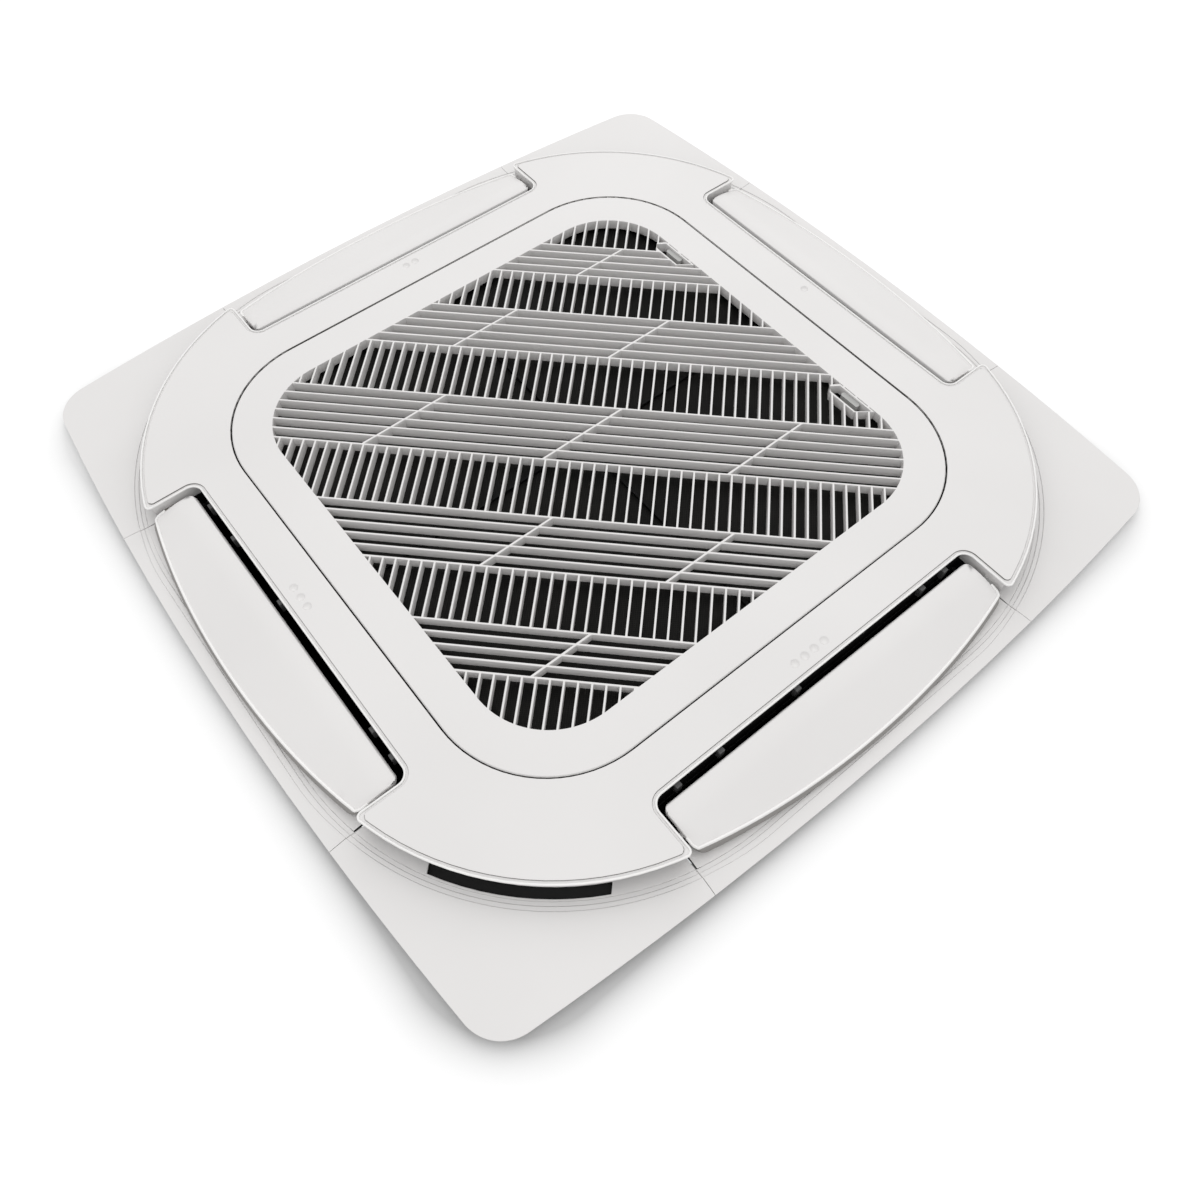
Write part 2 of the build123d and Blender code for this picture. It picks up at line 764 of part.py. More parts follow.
def box_recess():
    c = box_clear
    half_w = box_w / 2 + c
    half_d = box_d / 2 + c
    return block(-half_w, half_w, box_y - half_d, box_y + half_d, 2 * face_z, box_top + c)


def bell_mouth():
    low = cabinet_bottom - inlet_t
    high = fan_bottom + 4.0
    t = inlet_t
    profile = make_face(
        Polyline(
            (throat_r, high),
            (throat_r, low + flare_h),
            (flare_r, low),
            (inlet_r, low),
            (inlet_r, low + t),
            (flare_r + 1, low + t),
            (throat_r + t, low + flare_h + t),
            (throat_r + t, high),
            close=True,
        )
    )
    # The flange is open from the control box outwards.
    notch = box_recess() + Pos(0, -box_d, 0) * box_recess()
    return revolve(Plane.XZ * profile, Axis.Z) - notch


# Coil and drain


def coil_ring(outer, thick):
    return rounded(outer, coil_r) - rounded(outer - thick, coil_r - thick)


def coil_open_corner(grow=0.0):
    # The coil's ends stand apart at the -X-Y corner, where the pipes come in.
    reach = coil_outer + 20 - coil_gap_at
    return Pos(-(coil_gap_at - grow + reach / 2), -(coil_gap_at - grow + reach / 2)) * Rectangle(reach, reach)


def coil_fins():
    ring = coil_ring(coil_outer, coil_t) - coil_open_corner(4)
    return slab(ring, coil_bottom, coil_top)


def coil_end_plates():
    ring = coil_ring(coil_outer + 3, coil_t + 6) & (coil_open_corner(4) - coil_open_corner(2))
    plates = slab(ring, coil_bottom, coil_top)
    return plates


def coil_bends():
    bends = []
    rows = 4
    pitch = (coil_top - coil_bottom) / rows
    middle = coil_outer - coil_t / 2
    half = coil_t / 4
    face = -(coil_gap_at - 2)
    far = half + tube_r
    near = half - tube_r
    outer = Polyline((0, far), (-half, far), (-far, half), (-far, -half), (-half, -far), (0, -far))
    inner = Polyline((0, -near), (-near, -near), (-near, near), (0, near))
    closing = [Line((0, -half - tube_r), (0, -half + tube_r)), Line((0, half - tube_r), (0, half + tube_r))]
    ring = make_face(Curve() + [outer, inner] + closing)
    for i in range(rows):
        z = coil_bottom + pitch * (i + 0.5)
        loop = slab(ring, -tube_r, tube_r)
        bends.append(Pos(face, -middle, z) * loop)
        bends.append(Pos(-middle, face, z) * Rot(0, 0, 90) * loop)
    return Compound(children=bends)


def drain_pan():
    body = slab(octagon(sheet_t + liner_t + seat), cabinet_bottom, pan_top)
    body -= Pos(0, 0, (cabinet_bottom + pan_top) / 2) * Cylinder(pan_hole_r, 2 * pan_h)
    # Four notches let the air down past the pan, along the cabinet's lining.
    outlet = span_x(slot_inner + seat, cabinet_half, slot_half - 1)
    for angle in turn_of.values():
        body -= around(slab(outlet, cabinet_bottom - 1, pan_top + 1), angle)
    trough = coil_ring(coil_outer + 5, coil_t + 10) + (
        (rounded(coil_outer + 5, coil_r + 5) - rounded(coil_outer - coil_t - 40, coil_r)) & coil_open_corner()
    )
    body -= slab(trough, pan_floor, pan_top + 1)
    body -= box_recess()
    body -= Pos(plug_at, plug_at, cabinet_bottom) * Cylinder(plug_r, 400)
    return body


def drain_plug():
    body = Pos(plug_at, plug_at, cabinet_bottom + 10) * Cylinder(plug_r, 20)
    body += Pos(plug_at, plug_at, cabinet_bottom - 1.5) * Cylinder(plug_r + 3, 3)
    return body


def drain_pump():
    floor = pan_floor
    at = Pos(pump_at, pump_at, 0)
    body = at * slab(Circle(12), floor + 3, floor + 26)
    body += at * slab(Circle(26), floor + 25, floor + 66)
    body += at * slab(Circle(22), floor + 66, coil_top - 2)
    body += block(pump_at - 7, pump_at + 7, pump_at + 20, pump_at + 44, floor + 44, floor + 58)
    return body + block(pump_at - 34, pump_at + 34, pump_at - 20, pump_at + 20, coil_top - 3, coil_top + 0.3)


def float_stem():
    # Guide stem on an arm from the pump, with a stop disc near the trough's floor.
    top = pan_floor + 64
    low = pan_floor + 3
    stem = Pos(float_x, float_y, 0) * slab(Circle(float_stem_r), low, top)
    stem += Pos(float_x, float_y, 0) * slab(Circle(6), low, low + 2)
    arm = block(float_x - 6, pump_at - 25.5, float_y - 6, float_y + 6, top - 3, top)
    return stem + arm - Pos(pump_at, pump_at, top) * Cylinder(26, 80)


def float_ring():
    low = pan_floor + 5
    ring = slab(Circle(11) - Circle(float_stem_r + run_gap), low, low + 18)
    return Pos(float_x, float_y, 0) * ring


def drain_socket():
    x0 = -cabinet_half - stub_len
    tube = rod_x(drain_y, drain_z, drain_r, x0, -cabinet_half + 34)
    side = drain_r + 9
    outer = -cabinet_half - 2.5
    flange = block(outer, -cabinet_half, drain_y - side, drain_y + side, drain_z - side, drain_z + side)
    return tube + flange - rod_x(drain_y, drain_z, drain_r - 2.5, x0 - 1, -cabinet_half + 40)


def stub_pipe(y, radius):
    x0 = -cabinet_half - stub_len
    tube = rod_x(y, gas_z, radius, x0, -coil_outer - 4)
    return tube - rod_x(y, gas_z, radius - 1, x0 - 1, -coil_outer - 3)


def flare_nuts():
    nuts = []
    for y, radius in ((gas_y, gas_r), (liquid_y, liquid_r)):
        across = radius * 1.7
        nut = Rot(0, 90, 0) * slab(RegularPolygon(across, 6), -9, 9)
        nut = Pos(-cabinet_half - stub_len + 9, y, gas_z) * nut
        nuts.append(nut - rod_x(y, gas_z, radius, -600, 0))
    return Compound(children=nuts)


def pipe_plate():
    body = block(-cabinet_half - 1.5, -cabinet_half, -80, 80, gas_z - 50, gas_z + 50)
    for y, radius in ((gas_y, gas_r), (liquid_y, liquid_r)):
        side = radius + 2.5
        body -= block(-cabinet_half - 5, -cabinet_half + 5, y - side, y + side, gas_z - side, gas_z + side)
    return body


def pipe_grommets():
    rings = []
    for y, radius in ((gas_y, gas_r), (liquid_y, liquid_r)):
        side = radius + 2.5
        ring = block(-cabinet_half - 4, -cabinet_half + 3, y - side, y + side, gas_z - side, gas_z + side)
        rings.append(ring - rod_x(y, gas_z, radius, -cabinet_half - 6, -cabinet_half + 6))
    return Compound(children=rings)


# Control box


def control_box():
    body = block(-box_w / 2, box_w / 2, box_y - box_d / 2, box_y + box_d / 2, box_bottom, box_top)
    s = sheet_t
    body -= block(
        -box_w / 2 + s, box_w / 2 - s, box_y - box_d / 2 + s, box_y + box_d / 2 - s, box_bottom - 1, box_top - s
    )
    return body


def control_box_cover():
    s = sheet_t
    half_w = box_w / 2 + 0.2
    body = block(-half_w, half_w, box_y - box_d / 2, box_y + box_d / 2, box_bottom - s, box_bottom)
    return body


def circuit_board():
    board_z = box_top - 10.0
    body = block(-box_w / 2 + 8, 40, box_y - box_d / 2 + 6, box_y + box_d / 2 - 6, board_z - 1.6, board_z)
    for x in (-box_w / 2 + 14, 34):
        for y in (box_y - box_d / 2 + 12, box_y + box_d / 2 - 12):
            body += block(x - 2.5, x + 2.5, y - 2.5, y + 2.5, board_z, box_top - sheet_t)
    for x, w, h in ((-110, 26, 14), (-70, 18, 10), (-30, 30, 18), (10, 16, 12)):
        body += block(x - w / 2, x + w / 2, box_y - 14, box_y + 14, board_z - 1.6 - h, board_z - 1.6)
    return body


def terminal_block():
    body = block(58, 138, box_y - 22, box_y + 2, box_top - sheet_t - 22, box_top - sheet_t)
    for i in range(5):
        x = 66 + i * 16
        body -= block(x - 5, x + 5, box_y - 18, box_y - 2, box_top - 30, box_top - sheet_t - 14)
    return body


def fan_capacitor():
    body = block(62, 110, box_y + 10, box_y + 30, box_top - sheet_t - 28, box_top - sheet_t)
    return fillet(body.edges().filter_by(Axis.Z), 6)


def thermistor():
    y = box_y + box_d / 2
    body = rod_x(y + 6, box_bottom + 8, 3, -120, -92)
    clip = block(-112, -100, y, y + 3.5, box_bottom + 4, box_bottom + 12)
    return body + clip


pieces = {
    "panel_base": panel_base(),
    "outlet_liners": outlet_liners(),
    "well_frame": well_frame(),
    "panel_deck": panel_deck(),
    "intake_grille": intake_grille(),
    "grille_hinge_pins": hinge_pins(),
    "grille_latch_1": grille_latch(-latch_at),
    "grille_latch_2": grille_latch(latch_at),
    "filter_frame": filter_frame(),
    "filter_mesh": filter_mesh(),
    "vane_bushes": vane_bushes(),
    "sealing_gaskets": sealing_gaskets(),
    "panel_screws": panel_screws(),
    "panel_fixing_plates": panel_fixing_plates(),
    "cabinet_shell": cabinet_shell(),
    "insulation_liner": insulation_liner(),
    "fan_motor": fan_motor(),
    "motor_mounts": motor_mounts(),
    "fan_shaft": fan_shaft(),
    "turbo_fan": turbo_fan(),
    "fan_nut": fan_nut(),
    "bell_mouth": bell_mouth(),
    "coil_fins": coil_fins(),
    "coil_end_plates": coil_end_plates(),
    "coil_bends": coil_bends(),
    "drain_pan": drain_pan(),
    "drain_plug": drain_plug(),
    "drain_pump": drain_pump(),
    "float_stem": float_stem(),
    "float_ring": float_ring(),
    "drain_socket": drain_socket(),
    "gas_pipe": stub_pipe(gas_y, gas_r),
    "liquid_pipe": stub_pipe(liquid_y, liquid_r),
    "flare_nuts": flare_nuts(),
    "pipe_plate": pipe_plate(),
    "pipe_grommets": pipe_grommets(),
    "control_box": control_box(),
    "control_box_cover": control_box_cover(),
    "circuit_board": circuit_board(),
    "terminal_block": terminal_block(),
    "fan_capacitor": fan_capacitor(),
    "thermistor": thermistor(),
}
for k in (1, 2, 3, 4):
    pieces[f"corner_cover_{k}"] = corner_cover(k)
    pieces[f"vane_{k}"] = vane(k)
    pieces[f"vane_motor_{k}"] = vane_motor(k)
    pieces[f"hanger_bracket_{k}"] = hanger_bracket(k)

os.makedirs("parts", exist_ok=True)
for name, piece in pieces.items():
    print(name, len(piece.solids()), round(sum(solid.volume for solid in piece.solids())))
    export_step(piece, f"parts/{name}.step")
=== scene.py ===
import json
import math
import bpy
from mathutils import Matrix, Vector

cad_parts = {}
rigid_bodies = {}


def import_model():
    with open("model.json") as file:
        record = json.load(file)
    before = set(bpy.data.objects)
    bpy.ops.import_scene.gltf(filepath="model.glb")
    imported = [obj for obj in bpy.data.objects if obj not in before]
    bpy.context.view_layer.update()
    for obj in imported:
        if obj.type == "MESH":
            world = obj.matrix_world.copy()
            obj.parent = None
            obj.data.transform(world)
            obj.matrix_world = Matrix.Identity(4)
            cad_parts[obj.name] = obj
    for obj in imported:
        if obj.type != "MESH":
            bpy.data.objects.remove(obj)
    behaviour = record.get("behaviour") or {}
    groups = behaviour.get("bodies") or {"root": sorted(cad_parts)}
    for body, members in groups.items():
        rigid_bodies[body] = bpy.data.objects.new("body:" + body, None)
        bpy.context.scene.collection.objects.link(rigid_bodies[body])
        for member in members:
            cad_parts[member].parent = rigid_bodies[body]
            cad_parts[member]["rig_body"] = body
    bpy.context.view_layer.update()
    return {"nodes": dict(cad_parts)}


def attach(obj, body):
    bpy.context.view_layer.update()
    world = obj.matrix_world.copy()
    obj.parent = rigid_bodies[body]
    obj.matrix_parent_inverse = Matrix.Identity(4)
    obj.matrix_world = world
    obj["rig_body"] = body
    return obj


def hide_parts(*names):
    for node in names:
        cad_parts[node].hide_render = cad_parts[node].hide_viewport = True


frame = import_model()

scene = bpy.context.scene
nodes = frame["nodes"]
bodyOfNode = {name: node["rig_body"] for name, node in nodes.items()}
print("frame loaded:", len(nodes), "nodes")


# the panel looks down at the room, so the camera is below it and looks up
view = {
    "place": (0.5487, 0.4052, -1.01577),
    "right": (0.62522495, -0.78039536, 0.00876611),
    "down": (0.67982316, 0.55009813, 0.48500775),
    "ahead": (-0.38332002, -0.29727954, 0.87446591),
    "lens": 27.853,
}


def makeCamera():
    right = Vector(view["right"]).normalized()
    up = -Vector(view["down"]).normalized()
    back = -Vector(view["ahead"]).normalized()
    turn = Matrix((right, up, back)).transposed()
    data = bpy.data.cameras.new("photoCamera")
    data.lens = view["lens"]
    data.sensor_width = 36.0
    camera = bpy.data.objects.new("photoCamera", data)
    scene.collection.objects.link(camera)
    camera.matrix_world = Matrix.Translation(view["place"]) @ turn.to_4x4()
    scene.camera = camera


makeCamera()
print("camera placed")


# helpers for selecting and finishing by hand
def deselectAll():
    if bpy.context.object and bpy.context.object.mode != "OBJECT":
        bpy.ops.object.mode_set(mode="OBJECT")
    bpy.ops.object.select_all(action="DESELECT")


def pick(piece):
    deselectAll()
    piece.select_set(True)
    bpy.context.view_layer.objects.active = piece


def settle(piece):
    pick(piece)
    bpy.ops.object.transform_apply(location=True, rotation=True, scale=True)


def applyAll(piece):
    pick(piece)
    for modifier in list(piece.modifiers):
        bpy.ops.object.modifier_apply(modifier=modifier.name)


def finishPiece(piece, name, material, body="unit", smooth=40.0, replaced=()):
    settle(piece)
    bpy.ops.object.shade_smooth_by_angle(angle=math.radians(smooth))
    applyAll(piece)
    piece.name = name
    piece.data.materials.clear()
    piece.data.materials.append(material)
    if replaced:
        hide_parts(*replaced)
    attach(piece, body)
    return piece


# vertices closer than this are one, and heights closer than this are level
levelPlay = 0.00002


def mergedCopy(nodeName):
    # a node's loose triangles, welded into one clean mesh
    piece = bpy.data.objects.new(nodeName + "Copy", nodes[nodeName].data.copy())
    scene.collection.objects.link(piece)
    pick(piece)
    bpy.ops.object.mode_set(mode="EDIT")
    bpy.ops.mesh.select_all(action="SELECT")
    bpy.ops.mesh.customdata_custom_splitnormals_clear()
    bpy.ops.mesh.remove_doubles(threshold=levelPlay)
    bpy.ops.object.mode_set(mode="OBJECT")
    return piece


def joinAll(pieces):
    deselectAll()
    for part in pieces:
        part.select_set(True)
    bpy.context.view_layer.objects.active = pieces[0]
    bpy.ops.object.join()
    return bpy.context.object


def sideVectors(turn):
    # outwards and along, for a side of the panel at this turn
    out = Vector((math.cos(turn), math.sin(turn), 0))
    return out, Vector((-out.y, out.x, 0))


def rounding(piece, width, angle=25.0):
    bevel = piece.modifiers.new("edges", "BEVEL")
    bevel.width = width
    bevel.segments = 2
    bevel.limit_method = "ANGLE"
    bevel.angle_limit = math.radians(angle)
    bevel.use_clamp_overlap = False
    even = piece.modifiers.new("evenFaces", "WEIGHTED_NORMAL")
    even.keep_sharp = True
    even.weight = 100


# effects shared by several finishes
def newGroup(name, inputs, outputs):
    group = bpy.data.node_groups.new(name, "ShaderNodeTree")
    for label, kind, value in inputs:
        socket = group.interface.new_socket(name=label, in_out="INPUT", socket_type=kind)
        socket.default_value = value
    for label, kind in outputs:
        group.interface.new_socket(name=label, in_out="OUTPUT", socket_type=kind)
    start = group.nodes.new("NodeGroupInput")
    end = group.nodes.new("NodeGroupOutput")
    return group, start, end


def joinNodes(tree, *pairs):
    for source, target in pairs:
        tree.links.new(source, target)


def makeMouldedGrain():
    # slight cloudiness of colour and gloss, with the fine spark texture of a mould
    group, start, end = newGroup(
        "mouldedGrain",
        [("Base", "NodeSocketColor", (0.8, 0.8, 0.8, 1)), ("Shade", "NodeSocketColor", (0.7, 0.7, 0.7, 1)),
         ("Grain Scale", "NodeSocketFloat", 1800.0), ("Gloss Low", "NodeSocketFloat", 0.35),
         ("Gloss High", "NodeSocketFloat", 0.5)],
        [("Color", "NodeSocketColor"), ("Roughness", "NodeSocketFloat"), ("Height", "NodeSocketFloat")],
    )
    place = group.nodes.new("ShaderNodeTexCoord")
    cloud = group.nodes.new("ShaderNodeTexNoise")
    cloud.inputs["Scale"].default_value = 5.0
    cloud.inputs["Detail"].default_value = 3.0
    fine = group.nodes.new("ShaderNodeTexNoise")
    fine.inputs["Detail"].default_value = 2.0
    spread = group.nodes.new("ShaderNodeMapRange")
    spread.inputs["From Min"].default_value = 0.35
    spread.inputs["From Max"].default_value = 0.7
    tone = group.nodes.new("ShaderNodeMix")
    tone.data_type = "RGBA"
    gloss = group.nodes.new("ShaderNodeMapRange")
    joinNodes(
        group,
        (place.outputs["Object"], cloud.inputs["Vector"]),
        (place.outputs["Object"], fine.inputs["Vector"]),
        (start.outputs["Grain Scale"], fine.inputs["Scale"]),
        (cloud.outputs["Fac"], spread.inputs["Value"]),
        (spread.outputs["Result"], tone.inputs["Factor"]),
        (start.outputs["Base"], tone.inputs["A"]),
        (start.outputs["Shade"], tone.inputs["B"]),
        (fine.outputs["Fac"], gloss.inputs["Value"]),
        (start.outputs["Gloss Low"], gloss.inputs["To Min"]),
        (start.outputs["Gloss High"], gloss.inputs["To Max"]),
        (tone.outputs["Result"], end.inputs["Color"]),
        (gloss.outputs["Result"], end.inputs["Roughness"]),
        (fine.outputs["Fac"], end.inputs["Height"]),
    )
    return group


def makeStreaks():
    # fine drawn or brushed lines along one axis
    group, start, end = newGroup(
        "drawnStreaks",
        [("Base", "NodeSocketColor", (0.6, 0.6, 0.6, 1)), ("Shade", "NodeSocketColor", (0.4, 0.4, 0.4, 1)),
         ("Stretch", "NodeSocketVector", (40.0, 900.0, 900.0)), ("Gloss Low", "NodeSocketFloat", 0.25),
         ("Gloss High", "NodeSocketFloat", 0.45)],
        [("Color", "NodeSocketColor"), ("Roughness", "NodeSocketFloat"), ("Height", "NodeSocketFloat")],
    )
    place = group.nodes.new("ShaderNodeTexCoord")
    scale = group.nodes.new("ShaderNodeVectorMath")
    scale.operation = "MULTIPLY"
    lines = group.nodes.new("ShaderNodeTexNoise")
    lines.inputs["Scale"].default_value = 1.0
    lines.inputs["Detail"].default_value = 4.0
    tone = group.nodes.new("ShaderNodeMix")
    tone.data_type = "RGBA"
    gloss = group.nodes.new("ShaderNodeMapRange")
    joinNodes(
        group,
        (place.outputs["Object"], scale.inputs[0]),
        (start.outputs["Stretch"], scale.inputs[1]),
        (scale.outputs["Vector"], lines.inputs["Vector"]),
        (lines.outputs["Fac"], tone.inputs["Factor"]),
        (start.outputs["Base"], tone.inputs["A"]),
        (start.outputs["Shade"], tone.inputs["B"]),
        (lines.outputs["Fac"], gloss.inputs["Value"]),
        (start.outputs["Gloss Low"], gloss.inputs["To Min"]),
        (start.outputs["Gloss High"], gloss.inputs["To Max"]),
        (tone.outputs["Result"], end.inputs["Color"]),
        (gloss.outputs["Result"], end.inputs["Roughness"]),
        (lines.outputs["Fac"], end.inputs["Height"]),
    )
    return group


def makeCells():
    # crystal spangle on zinc sheet, or the beads of pressed foam
    group, start, end = newGroup(
        "cellTones",
        [("Base", "NodeSocketColor", (0.6, 0.6, 0.6, 1)), ("Shade", "NodeSocketColor", (0.5, 0.5, 0.5, 1)),
         ("Cell Scale", "NodeSocketFloat", 120.0), ("Gloss Low", "NodeSocketFloat", 0.3),
         ("Gloss High", "NodeSocketFloat", 0.5)],
        [("Color", "NodeSocketColor"), ("Roughness", "NodeSocketFloat"), ("Height", "NodeSocketFloat")],
    )
    place = group.nodes.new("ShaderNodeTexCoord")
    cells = group.nodes.new("ShaderNodeTexVoronoi")
    split = group.nodes.new("ShaderNodeSeparateColor")
    tone = group.nodes.new("ShaderNodeMix")
    tone.data_type = "RGBA"
    gloss = group.nodes.new("ShaderNodeMapRange")
    joinNodes(
        group,
        (place.outputs["Object"], cells.inputs["Vector"]),
        (start.outputs["Cell Scale"], cells.inputs["Scale"]),
        (cells.outputs["Color"], split.inputs["Color"]),
        (split.outputs["Red"], tone.inputs["Factor"]),
        (start.outputs["Base"], tone.inputs["A"]),
        (start.outputs["Shade"], tone.inputs["B"]),
        (split.outputs["Green"], gloss.inputs["Value"]),
        (start.outputs["Gloss Low"], gloss.inputs["To Min"]),
        (start.outputs["Gloss High"], gloss.inputs["To Max"]),
        (tone.outputs["Result"], end.inputs["Color"]),
        (gloss.outputs["Result"], end.inputs["Roughness"]),
        (cells.outputs["Distance"], end.inputs["Height"]),
    )
    return group


def makeWeave():
    # two sets of threads crossing, turned to run along the diagonals
    group, start, end = newGroup(
        "threadWeave",
        [("Thread", "NodeSocketColor", (0.02, 0.02, 0.02, 1)), ("Gap", "NodeSocketColor", (0.002, 0.002, 0.002, 1)),
         ("Thread Scale", "NodeSocketFloat", 300.0), ("Turn", "NodeSocketVector", (0.0, 0.0, 0.785))],
        [("Color", "NodeSocketColor"), ("Height", "NodeSocketFloat")],
    )
    place = group.nodes.new("ShaderNodeTexCoord")
    turned = group.nodes.new("ShaderNodeVectorRotate")
    turned.rotation_type = "EULER_XYZ"
    waves = []
    for direction in ("X", "Y"):
        wave = group.nodes.new("ShaderNodeTexWave")
        wave.bands_direction = direction
        wave.inputs["Distortion"].default_value = 0.6
        wave.inputs["Detail"].default_value = 1.0
        wave.inputs["Detail Scale"].default_value = 0.05
        joinNodes(
            group,
            (turned.outputs["Vector"], wave.inputs["Vector"]),
            (start.outputs["Thread Scale"], wave.inputs["Scale"]),
        )
        waves.append(wave)
    high = group.nodes.new("ShaderNodeMath")
    high.operation = "MAXIMUM"
    drift = group.nodes.new("ShaderNodeTexNoise")
    drift.inputs["Scale"].default_value = 22.0
    drift.inputs["Detail"].default_value = 4.0
    both = group.nodes.new("ShaderNodeMath")
    both.operation = "MULTIPLY"
    tone = group.nodes.new("ShaderNodeMix")
    tone.data_type = "RGBA"
    joinNodes(
        group,
        (place.outputs["Object"], turned.inputs["Vector"]),
        (start.outputs["Turn"], turned.inputs["Rotation"]),
        (waves[0].outputs["Fac"], high.inputs[0]),
        (waves[1].outputs["Fac"], high.inputs[1]),
        (turned.outputs["Vector"], drift.inputs["Vector"]),
        (high.outputs[0], both.inputs[0]),
        (drift.outputs["Fac"], both.inputs[1]),
        (both.outputs[0], tone.inputs["Factor"]),
        (start.outputs["Gap"], tone.inputs["A"]),
        (start.outputs["Thread"], tone.inputs["B"]),
        (tone.outputs["Result"], end.inputs["Color"]),
        (high.outputs[0], end.inputs["Height"]),
    )
    return group


mouldedGrain = makeMouldedGrain()
drawnStreaks = makeStreaks()
cellTones = makeCells()
threadWeave = makeWeave()
print("shared effects built")


def finish(name, group, values, rough=None, metal=0.0, bump=0.1, bumpDistance=0.0002, **plain):
    material = bpy.data.materials.new(name)
    material.use_nodes = True
    tree = material.node_tree
    shader = tree.nodes["Principled BSDF"]
    effect = tree.nodes.new("ShaderNodeGroup")
    effect.node_tree = group
    for label, value in values.items():
        effect.inputs[label].default_value = value
    relief = tree.nodes.new("ShaderNodeBump")
    relief.inputs["Strength"].default_value = bump
    relief.inputs["Distance"].default_value = bumpDistance
    joinNodes(
        tree,
        (effect.outputs["Color"], shader.inputs["Base Color"]),
        (effect.outputs["Height"], relief.inputs["Height"]),
        (relief.outputs["Normal"], shader.inputs["Normal"]),
    )
    if rough is None:
        joinNodes(tree, (effect.outputs["Roughness"], shader.inputs["Roughness"]))
    else:
        shader.inputs["Roughness"].default_value = rough
    shader.inputs["Metallic"].default_value = metal
    for label, value in plain.items():
        shader.inputs[label.replace("_", " ")].default_value = value
    return material


def tint(r, g, b):
    return (r, g, b, 1.0)


panelPlastic = finish(
    "panelPlastic", mouldedGrain,
    {"Base": tint(0.765, 0.752, 0.744), "Shade": tint(0.742, 0.729, 0.721),
     "Grain Scale": 2200.0, "Gloss Low": 0.36, "Gloss High": 0.46},
    bump=0.06, bumpDistance=0.0001,
)
# the panel's plastic painted lighter for the beads: a painted highlight along their rims
beadHighlightPlastic = finish(
    "beadHighlightPlastic", mouldedGrain,
    {"Base": tint(0.89, 0.88, 0.87), "Shade": tint(0.87, 0.86, 0.85),
     "Grain Scale": 2200.0, "Gloss Low": 0.3, "Gloss High": 0.4},
    bump=0.03,
)
# near-black painted on the deck step's wall: painted shade in its groove
stepShadePlastic = finish(
    "stepShadePlastic", mouldedGrain,
    {"Base": tint(0.13, 0.125, 0.12), "Shade": tint(0.11, 0.105, 0.10),
     "Grain Scale": 1500.0, "Gloss Low": 0.5, "Gloss High": 0.65},
    bump=0.03,
)
# dark grey painted on the vanes' outer walls: painted shade of the gap beside them
rimShadePlastic = finish(
    "rimShadePlastic", mouldedGrain,
    {"Base": tint(0.27, 0.26, 0.25), "Shade": tint(0.25, 0.24, 0.23),
     "Grain Scale": 1500.0, "Gloss Low": 0.5, "Gloss High": 0.65},
    bump=0.03,
)
# black foam lining; its near-black also stands in for the shade deep in the ducts and the pan
blackFoamAndShade = finish(
    "blackFoamAndShade", cellTones,
    {"Base": tint(0.010, 0.010, 0.010), "Shade": tint(0.006, 0.006, 0.006),
     "Cell Scale": 300.0, "Gloss Low": 0.8, "Gloss High": 0.95},
    bump=0.2, Specular_IOR_Level=0.15,
)
# near-black for the well frame, partly its own black and partly standing in for the deep shade under the lobes
frameBlackAndShade = finish(
    "frameBlackAndShade", mouldedGrain,
    {"Base": tint(0.014, 0.014, 0.014), "Shade": tint(0.009, 0.009, 0.009),
     "Grain Scale": 1500.0, "Gloss Low": 0.5, "Gloss High": 0.65},
    Specular_IOR_Level=0.25,
)
# dark grey painted on the white plastic of the ducts' inner lip and guide ribs: painted shade
slotShadePlastic = finish(
    "slotShadePlastic", mouldedGrain,
    {"Base": tint(0.10, 0.10, 0.10), "Shade": tint(0.08, 0.08, 0.08),
     "Grain Scale": 1200.0, "Gloss Low": 0.5, "Gloss High": 0.6},
    bump=0.05,
)
latchPlastic = finish(
    "latchPlastic", mouldedGrain,
    {"Base": tint(0.42, 0.42, 0.41), "Shade": tint(0.36, 0.36, 0.355),
     "Grain Scale": 1700.0, "Gloss Low": 0.4, "Gloss High": 0.55},
)
creamPlastic = finish(
    "creamPlastic", mouldedGrain,
    {"Base": tint(0.70, 0.67, 0.58), "Shade": tint(0.65, 0.62, 0.53),
     "Grain Scale": 1200.0, "Gloss Low": 0.3, "Gloss High": 0.45},
)
filterPlastic = finish(
    "filterPlastic", mouldedGrain,
    {"Base": tint(0.006, 0.006, 0.006), "Shade": tint(0.004, 0.004, 0.004),
     "Grain Scale": 1500.0, "Gloss Low": 0.6, "Gloss High": 0.75},
    Specular_IOR_Level=0.15,
)
fanPlastic = finish(
    "fanPlastic", mouldedGrain,
    {"Base": tint(0.05, 0.052, 0.055), "Shade": tint(0.035, 0.036, 0.04),
     "Grain Scale": 700.0, "Gloss Low": 0.42, "Gloss High": 0.6},
    bump=0.2,
)
rubberBlack = finish(
    "rubberBlack", mouldedGrain,
    {"Base": tint(0.02, 0.02, 0.02), "Shade": tint(0.03, 0.03, 0.028),
     "Grain Scale": 900.0, "Gloss Low": 0.6, "Gloss High": 0.8},
)
boardGreen = finish(
    "boardGreen", cellTones,
    {"Base": tint(0.02, 0.13, 0.05), "Shade": tint(0.03, 0.17, 0.07),
     "Cell Scale": 260.0, "Gloss Low": 0.25, "Gloss High": 0.4},
)
motorPaint = finish(
    "motorPaint", mouldedGrain,
    {"Base": tint(0.10, 0.105, 0.11), "Shade": tint(0.075, 0.08, 0.085),
     "Grain Scale": 420.0, "Gloss Low": 0.35, "Gloss High": 0.55},
    bump=0.3,
)
zincSheet = finish(
    "zincSheet", cellTones,
    {"Base": tint(0.55, 0.57, 0.58), "Shade": tint(0.43, 0.45, 0.465),
     "Cell Scale": 95.0, "Gloss Low": 0.32, "Gloss High": 0.5},
    metal=0.85, bump=0.03,
)
